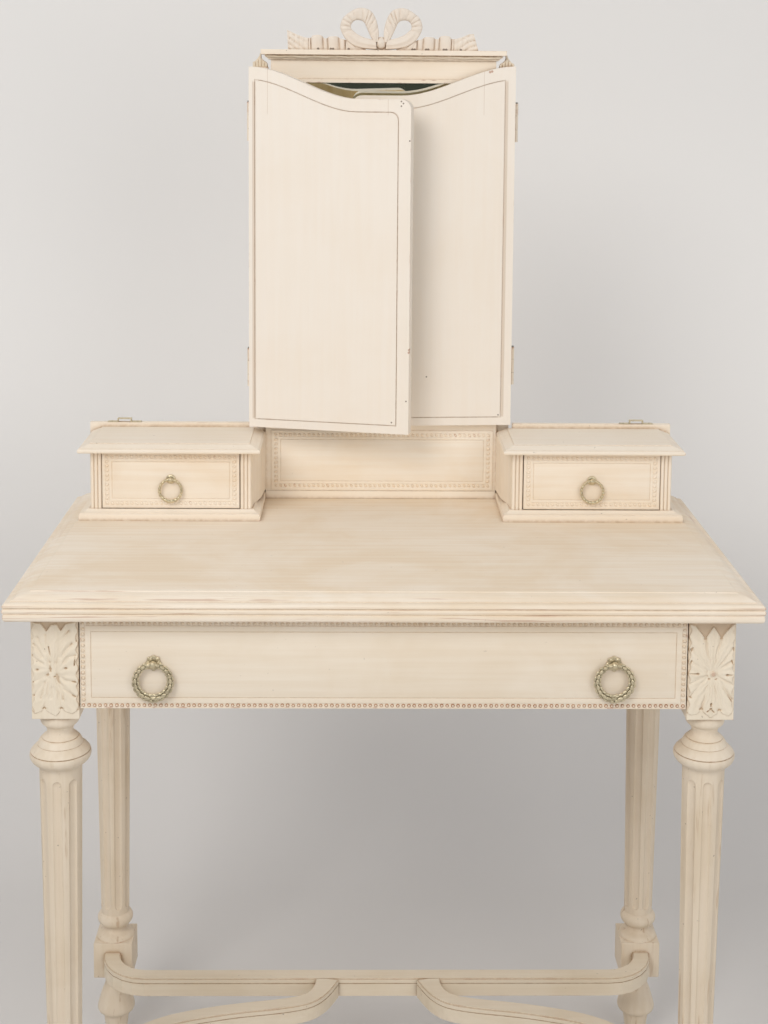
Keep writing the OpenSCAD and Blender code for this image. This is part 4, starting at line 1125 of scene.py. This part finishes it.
# ---------------------------------------------------------------- carved bow
# rails of the right-hand loop and tail, in millimetres from the knot, X and Z
LOOP_OUTER = ((4, 10), (3.2, 21), (4, 28), (6, 37), (10, 46), (16, 52), (25, 54.6), (34, 53), (43, 47.5),
              (50, 41), (53.4, 31), (51.5, 23), (46, 14), (36, 6), (22, 2), (6, 0.6))
LOOP_INNER = ((9, 11), (12.8, 16), (15, 20.5), (17.6, 26), (20, 31.5), (22.2, 35.6), (26.5, 38.6),
              (33, 38.8), (37, 36.5), (39.2, 32.5), (39, 28), (35.5, 24.3), (31, 20.6), (25, 17.6),
              (17, 15), (7, 13.6))
TAIL_TOP = ((20, 6), (36, 9), (46, 13), (53.5, 15), (56.5, 17.2), (62, 17.6), (68.5, 16.8), (70, 15.2),
            (74.4, 15.2), (76.5, 17.8), (81, 19.4), (88.6, 18.6), (91, 16), (94, 15.4), (99, 16),
            (107, 18.6), (114, 21.6))
TAIL_LOW = tuple((x, 0.2) for x, _ in TAIL_TOP)
# the far ends of the two tails, at the top and at the foot
LEFT_END, RIGHT_END = ((122.2, 25.4), (121, 0.2)), ((120.4, 21.9), (126.4, 0.2))


def along(points, t):
    """A place on a smooth curve through the points, t from 0 to 1."""
    n = len(points) - 1
    s = min(max(t, 0.0), 0.999999) * n
    i = int(s)
    u = s - i
    p = [Vector(points[min(max(i + k, 0), n)]) for k in (-1, 0, 1, 2)]
    return 0.5 * (2 * p[1] + (p[2] - p[0]) * u + (2 * p[0] - 5 * p[1] + 4 * p[2] - p[3]) * u * u
                  + (3 * p[1] - p[0] - 3 * p[2] + p[3]) * u * u * u)


def ribbon(name, rail_a, rail_b, nu, nv, height, front, back, z0):
    """A carved ribbon between two rails: height(t, v) gives its relief in millimetres."""
    piece = new_piece(bpy.ops.mesh.primitive_grid_add, x_subdivisions=nu, y_subdivisions=nv, size=2)
    for vertex in piece.data.vertices:
        t, v = (vertex.co.x + 1) / 2, (vertex.co.y + 1) / 2
        place = along(rail_a, t).lerp(along(rail_b, t), v)
        vertex.co = (place.x / 1000, front - height(t, v) / 1000, z0 + place.y / 1000)
    run_back(piece, back, closed=True)
    smooth(piece, 50)
    piece.name = name
    return piece


def domed(v, depth):
    return depth * (1 - (2 * v - 1) ** 2) ** 0.5


def pleat(turns):
    """Rounded folds with narrow hollows between them, from 0 to 1."""
    return abs(math.sin(math.pi * turns)) ** 0.55


def loop_relief(t, v):
    """Folds that fan out round the loop, strongest over its top."""
    over = min(1.0, max(0.0, (t - 0.06) / 0.1)) * min(1.0, max(0.0, (0.80 - t) / 0.1))
    fan = pleat(t * 15 + 0.5 * (v - 0.5) + 0.28 * math.sin(t * 21))
    fine = pleat(t * 31 - 0.4 * v + 0.2)
    strap = 0.5 + 0.5 * math.cos(v * 4 * math.pi)
    rim = 0.6 + 0.4 * (1 - v)
    return 3.0 + domed(v, 2.6) + over * rim * (1.9 * fan + 0.4 * fine) + (1 - over) * (0.7 + 0.9 * strap)


def tail_relief(t, v, top):
    """Upright folds: broad pleats with deep hollows between them, fanning out at the end."""
    x = along(top, t).x
    h = 2.2
    folds = ((62.5, 6.6, 3.4), (84, 7.6, 3.6), (72.4, 1.9, 1.6), (93, 1.9, 1.4), (50.5, 3.4, 2.4))
    for middle, half, rise in folds:
        q = (x - middle) / half
        if abs(q) < 1:
            h = max(h, 1.4 + rise * (1 - q * q) ** 0.5)
    for cut in (46.2, 54.8, 69.4, 75.6, 91.4, 96.2):
        h -= 1.5 * math.exp(-((x - cut + 0.8 * (v - 0.5)) / 0.6) ** 2)
    if x > 95:
        spread = (x - 95) / 27
        h = 2.0 + 2.6 * pleat(0.5 + v * (1.0 + 2.4 * spread) + 0.3 * spread) * (0.5 + 0.5 * spread)
        h += 0.8 * pleat(x * 0.16)
    if x < 46:
        h = 2.6 + 1.4 * pleat(x * 0.11 + 0.6 * v)
    return h * (0.8 + 0.2 * math.sin(math.pi * min(1.0, max(0.0, v)) ** 0.6))


class VANITY_OT_bow(Operator):
    """Carves the ribbon bow that crowns the mirror"""
    bl_idname = "vanity.bow"
    bl_label = "Carved bow"

    def execute(self, context):
        low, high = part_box("mirror_crest")
        z0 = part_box("mirror_cornice")[1].z
        front, back = low.y + 0.0075, high.y - 0.001
        right_loop = ribbon("Loop", LOOP_OUTER, LOOP_INNER, 260, 14, loop_relief, front, back, z0)
        pieces = [right_loop, flip_x(right_loop)]
        for end_top, end_foot in (LEFT_END, RIGHT_END):
            top, foot = TAIL_TOP + (end_top,), TAIL_LOW + (end_foot,)

            def folds(t, v):
                return tail_relief(t, v, top)

            pieces.append(ribbon("Tail", top, foot, 300, 18, folds, front, back, z0))
        turn_over(pieces[2])
        heart = board("Heart", (-0.009, front - 0.0015, z0), (0.009, back, z0 + 0.0075), 0.0012, 3)
        smooth(heart, 50)
        knot = new_piece(bpy.ops.mesh.primitive_uv_sphere_add, segments=28, ring_count=16, radius=1,
                         location=(0, front - 0.001, z0 + 0.0093))
        knot.scale = (0.0072, 0.0060, 0.0082)
        apply_place()
        for vertex in knot.data.vertices:
            vertex.co.y += 0.0005 * math.sin((vertex.co.x + 0.3 * (vertex.co.z - z0)) * 1900)
        smooth(knot, 60)
        bow = join(pieces + [heart, knot], "Bow")
        bow.location.x = (low.x + high.x) / 2
        fit(bow, "mirror_crest_carved", "Crest paint", "table", "mirror_crest")
        return {"FINISHED"}


# ---------------------------------------------------------------- cornice and consoles
# outline of a console and the tops of its reeds, in metres inwards from its outer side and up from
# its foot
CONSOLE = ((0, 0), (0, 0.0062), (0.0029, 0.0074), (0.0052, 0.0094), (0.0070, 0.0120), (0.0086, 0.0144),
           (0.0094, 0.0174), (0.0107, 0.0174), (0.0107, 0.0126), (0.0119, 0.0106), (0.0141, 0.0084),
           (0.0171, 0.0066), (0.0186, 0.0044), (0.0191, 0.0015), (0.0191, 0))
REED_TOPS = ((0.0004, 0.0060), (0.0029, 0.0074), (0.0052, 0.0094), (0.007, 0.012), (0.0082, 0.0140),
             (0.0106, 0.0118), (0.0140, 0.0084), (0.0170, 0.0066), (0.0186, 0.0044))


def wound_ribbon():
    """The rod under the cornice with a ribbon wound round it."""
    low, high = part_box("mirror_cornice")
    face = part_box("mirror_stiles")[0].y
    x0, x1 = low.x + 0.0075, high.x - 0.0075
    axis_y, axis_z = face - 0.0058, low.z + 0.0042
    rod, swell, ribbon_pitch, wave = 0.0019, 0.0006, 0.030, 0.113
    band = new_piece(bpy.ops.mesh.primitive_grid_add, x_subdivisions=360, y_subdivisions=16, size=2)
    for vertex in band.data.vertices:
        x, a = x0 + (x1 - x0) * (vertex.co.x + 1) / 2, vertex.co.y * math.pi * 0.75
        turn = math.sin(x * 2 * math.pi / ribbon_pitch + a)
        r = rod + swell * max(0.0, turn) ** 0.5 + 0.0002 * math.sin(x * 2 * math.pi / wave + 0.8)
        vertex.co = (x, axis_y - r * math.cos(a), axis_z + r * math.sin(a))
    smooth(band, 60)
    fit(band, "cornice_ribbon", "Carved paint", "table")


def reeded_consoles():
    """The two consoles beside the mirror's frame, each with five reeds on its face."""
    low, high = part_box("mirror_consoles")
    block = drawn_plate("Console", [(high.x - d, low.z + h) for d, h in CONSOLE], low.y + 0.0013, high.y)
    blocks = join([block, flip_x(block)], "Consoles")
    fit(blocks, "consoles_worked", "Carved paint", "table", "mirror_consoles")
    reeds, radius, pitch = [], 0.00165, 0.0039
    for k in range(5):
        d = 0.0019 + pitch * k
        top = max(0.003, height_on(REED_TOPS, d) - 0.0006)
        reed = new_piece(bpy.ops.mesh.primitive_cylinder_add, vertices=20, radius=radius, depth=top,
                         location=(high.x - d, low.y + radius + 0.0001, low.z + top / 2))
        ease(reed, 0.0007, 3, 60)
        smooth(reed, 50)
        reeds.append(reed)
    reeds = join(reeds, "Reeds")
    fit(join([reeds, flip_x(reeds)], "Reeds"), "console_reeds", "Carved paint", "table")


class VANITY_OT_cornice(Operator):
    """Winds a ribbon round a rod under the cornice and reeds the two consoles"""
    bl_idname = "vanity.cornice"
    bl_label = "Cornice and consoles"

    def execute(self, context):
        wound_ribbon()
        reeded_consoles()
        return {"FINISHED"}


# ---------------------------------------------------------------- studio
FLOOR_SIZE, FLOOR_MIDDLE = (14, 6, 1), (0, -2.1, 0)
WALL_HEIGHT, WALL_BEND = 5, 0.35
CAMERA_PLACE = (-0.02945, -1.8324, 1.30366)
CAMERA_DOWN, CAMERA_RIGHT, CAMERA_ROLL = 0.106, 0.01565, -0.007739
CAMERA_SENSOR, CAMERA_LENS, CAMERA_SHIFT = 24, 36.3047, -0.252832


def backdrop(look):
    """A floor that sweeps up into a wall behind the table."""
    floor = new_piece(bpy.ops.mesh.primitive_plane_add, size=1, location=FLOOR_MIDDLE)
    floor.scale = FLOOR_SIZE
    apply_place()
    edit_some(floor, "EDGE", lambda edge: all(v.co.y > 0.5 for v in edge.verts))
    bpy.ops.mesh.extrude_region_move(TRANSFORM_OT_translate={"value": (0, 0, WALL_HEIGHT)})
    bpy.ops.object.mode_set(mode="OBJECT")
    ease(floor, WALL_BEND, 24, 30)
    smooth(floor, 30)
    settle(floor, "Backdrop", backdrop_cloth(look))


def backdrop_cloth(look):
    """Pale cloth that the camera doesn't see from behind, with painted light: brightest at the table's
    height, darker on the floor and above the table.
    """
    r = Recipe("Backdrop")
    height = r.axis("Z")
    # Painted light: the cloth goes from the darker floor up to the bright table height, then darker again
    # above.
    coat = r.blend(r.spread(height, -0.1, 0.8), look.floor, look.backdrop)
    coat = r.blend(r.spread(height, 0.75, 1.5), coat, look.upper)
    r.feed(r.shader, {"Base Color": coat, "Roughness": 0.95, "Specular IOR Level": 0.1})
    from_behind = r.times(r.add("ShaderNodeNewGeometry").outputs["Backfacing"],
                          r.add("ShaderNodeLightPath").outputs["Is Camera Ray"])
    clear = r.add("ShaderNodeBsdfTransparent").outputs[0]
    cloth = r.add("ShaderNodeMixShader", {0: from_behind, 1: r.shader.outputs[0], 2: clear})
    r.feed(r.tree.nodes["Material Output"], {"Surface": cloth.outputs[0]})
    return r.material


def room_light(look):
    """An even room: pale for the camera, and dark in front of the glass and the brass."""
    world = bpy.data.worlds.new("Studio")
    bpy.context.scene.world = world
    world.use_nodes = True
    r = Nodes(world.node_tree)
    path = r.add("ShaderNodeLightPath").outputs
    toward = r.add("ShaderNodeSeparateXYZ", {0: r.add("ShaderNodeTexCoord").outputs["Generated"]})
    front = r.spread(toward.outputs["Y"], -0.2, -0.75, curve="LINEAR")
    colour = r.blend(r.times(front, path["Is Glossy Ray"]), tint(246, 248, 252), tint(80, 84, 74))
    colour = r.blend(path["Is Camera Ray"], colour, tint(204, 201, 197))
    power = r.spread(path["Is Camera Ray"], 0.0, 1.0, look.sky, 1.0, "LINEAR")
    r.feed(r.tree.nodes["Background"], {"Color": colour, "Strength": power})


def lamp(name, place, aim, size, power):
    """A round lamp of warm white, turned towards a point."""
    light = new_piece(bpy.ops.object.light_add, type="AREA", location=place)
    light.name = name
    light.data.shape = "DISK"
    light.data.size = size
    light.data.energy = power
    light.data.color = tint(255, 252, 248)
    light.rotation_euler = (Vector(aim) - Vector(place)).to_track_quat("-Z", "Y").to_euler()


def set_camera():
    """The camera, turned by its angles in radians."""
    camera = new_piece(bpy.ops.object.camera_add, location=CAMERA_PLACE)
    camera.name = "Camera"
    level = math.cos(CAMERA_DOWN)
    ahead = Vector((math.sin(CAMERA_RIGHT) * level, math.cos(CAMERA_RIGHT) * level, -math.sin(CAMERA_DOWN)))
    side = Vector((math.cos(CAMERA_RIGHT), -math.sin(CAMERA_RIGHT), 0))
    down = ahead.cross(side)
    right = side * math.cos(CAMERA_ROLL) + down * math.sin(CAMERA_ROLL)
    below = down * math.cos(CAMERA_ROLL) - side * math.sin(CAMERA_ROLL)
    x, y, z = CAMERA_PLACE
    camera.matrix_world = Matrix((
        (right.x, -below.x, -ahead.x, x), (right.y, -below.y, -ahead.y, y),
        (right.z, -below.z, -ahead.z, z), (0, 0, 0, 1)))
    camera.data.sensor_fit = "VERTICAL"
    camera.data.sensor_height = CAMERA_SENSOR
    camera.data.lens = CAMERA_LENS
    camera.data.shift_y = CAMERA_SHIFT
    camera.data.clip_start = 0.05
    bpy.context.scene.camera = camera


class VANITY_OT_stage(Operator):
    """Sets the floor, the backdrop, the lamps and the camera"""
    bl_idname = "vanity.stage"
    bl_label = "Studio and camera"

    def execute(self, context):
        look = context.scene.vanity_studio
        backdrop(look)
        room_light(look)
        lamp("Key lamp", (-1.2, -2.2, 2.6), (0, 0, 0.9), 1.4, look.key)
        lamp("Fill lamp", (1.5, -2.5, 1.5), (0, 0, 0.8), 1.8, look.fill)
        set_camera()
        context.scene.view_settings.view_transform = "Standard"
        return {"FINISHED"}


STEPS = (VANITY_OT_finishes, VANITY_OT_legs, VANITY_OT_wide_front, VANITY_OT_roped_fronts,
         VANITY_OT_pulls, VANITY_OT_bow, VANITY_OT_cornice, VANITY_OT_stage)
SETTINGS = {"vanity_paint": VANITY_PG_paint, "vanity_metal": VANITY_PG_metal, "vanity_wood": VANITY_PG_wood,
            "vanity_carving": VANITY_PG_carving, "vanity_studio": VANITY_PG_studio}


class VANITY_PT_panel(Panel):
    """Lists the settings and the steps that dress the table"""
    bl_idname = "VANITY_PT_panel"
    bl_label = "Vanity table"
    bl_space_type = "VIEW_3D"
    bl_region_type = "UI"
    bl_category = "Vanity table"

    def draw(self, context):
        for name, group in SETTINGS.items():
            box = self.layout.box()
            for setting in group.__annotations__:
                box.prop(getattr(context.scene, name), setting)
        for step in STEPS:
            self.layout.operator(step.bl_idname)


CLASSES = (*SETTINGS.values(), *STEPS, VANITY_PT_panel)


def register():
    for one in CLASSES:
        bpy.utils.register_class(one)
    for name, group in SETTINGS.items():
        setattr(bpy.types.Scene, name, PointerProperty(type=group))


def unregister():
    for name in SETTINGS:
        delattr(bpy.types.Scene, name)
    for one in reversed(CLASSES):
        bpy.utils.unregister_class(one)


def main():
    register()
    for step in STEPS:
        group, name = step.bl_idname.split(".")
        getattr(getattr(bpy.ops, group), name)()
    clear_selection()


if __name__ == "__main__":
    main()
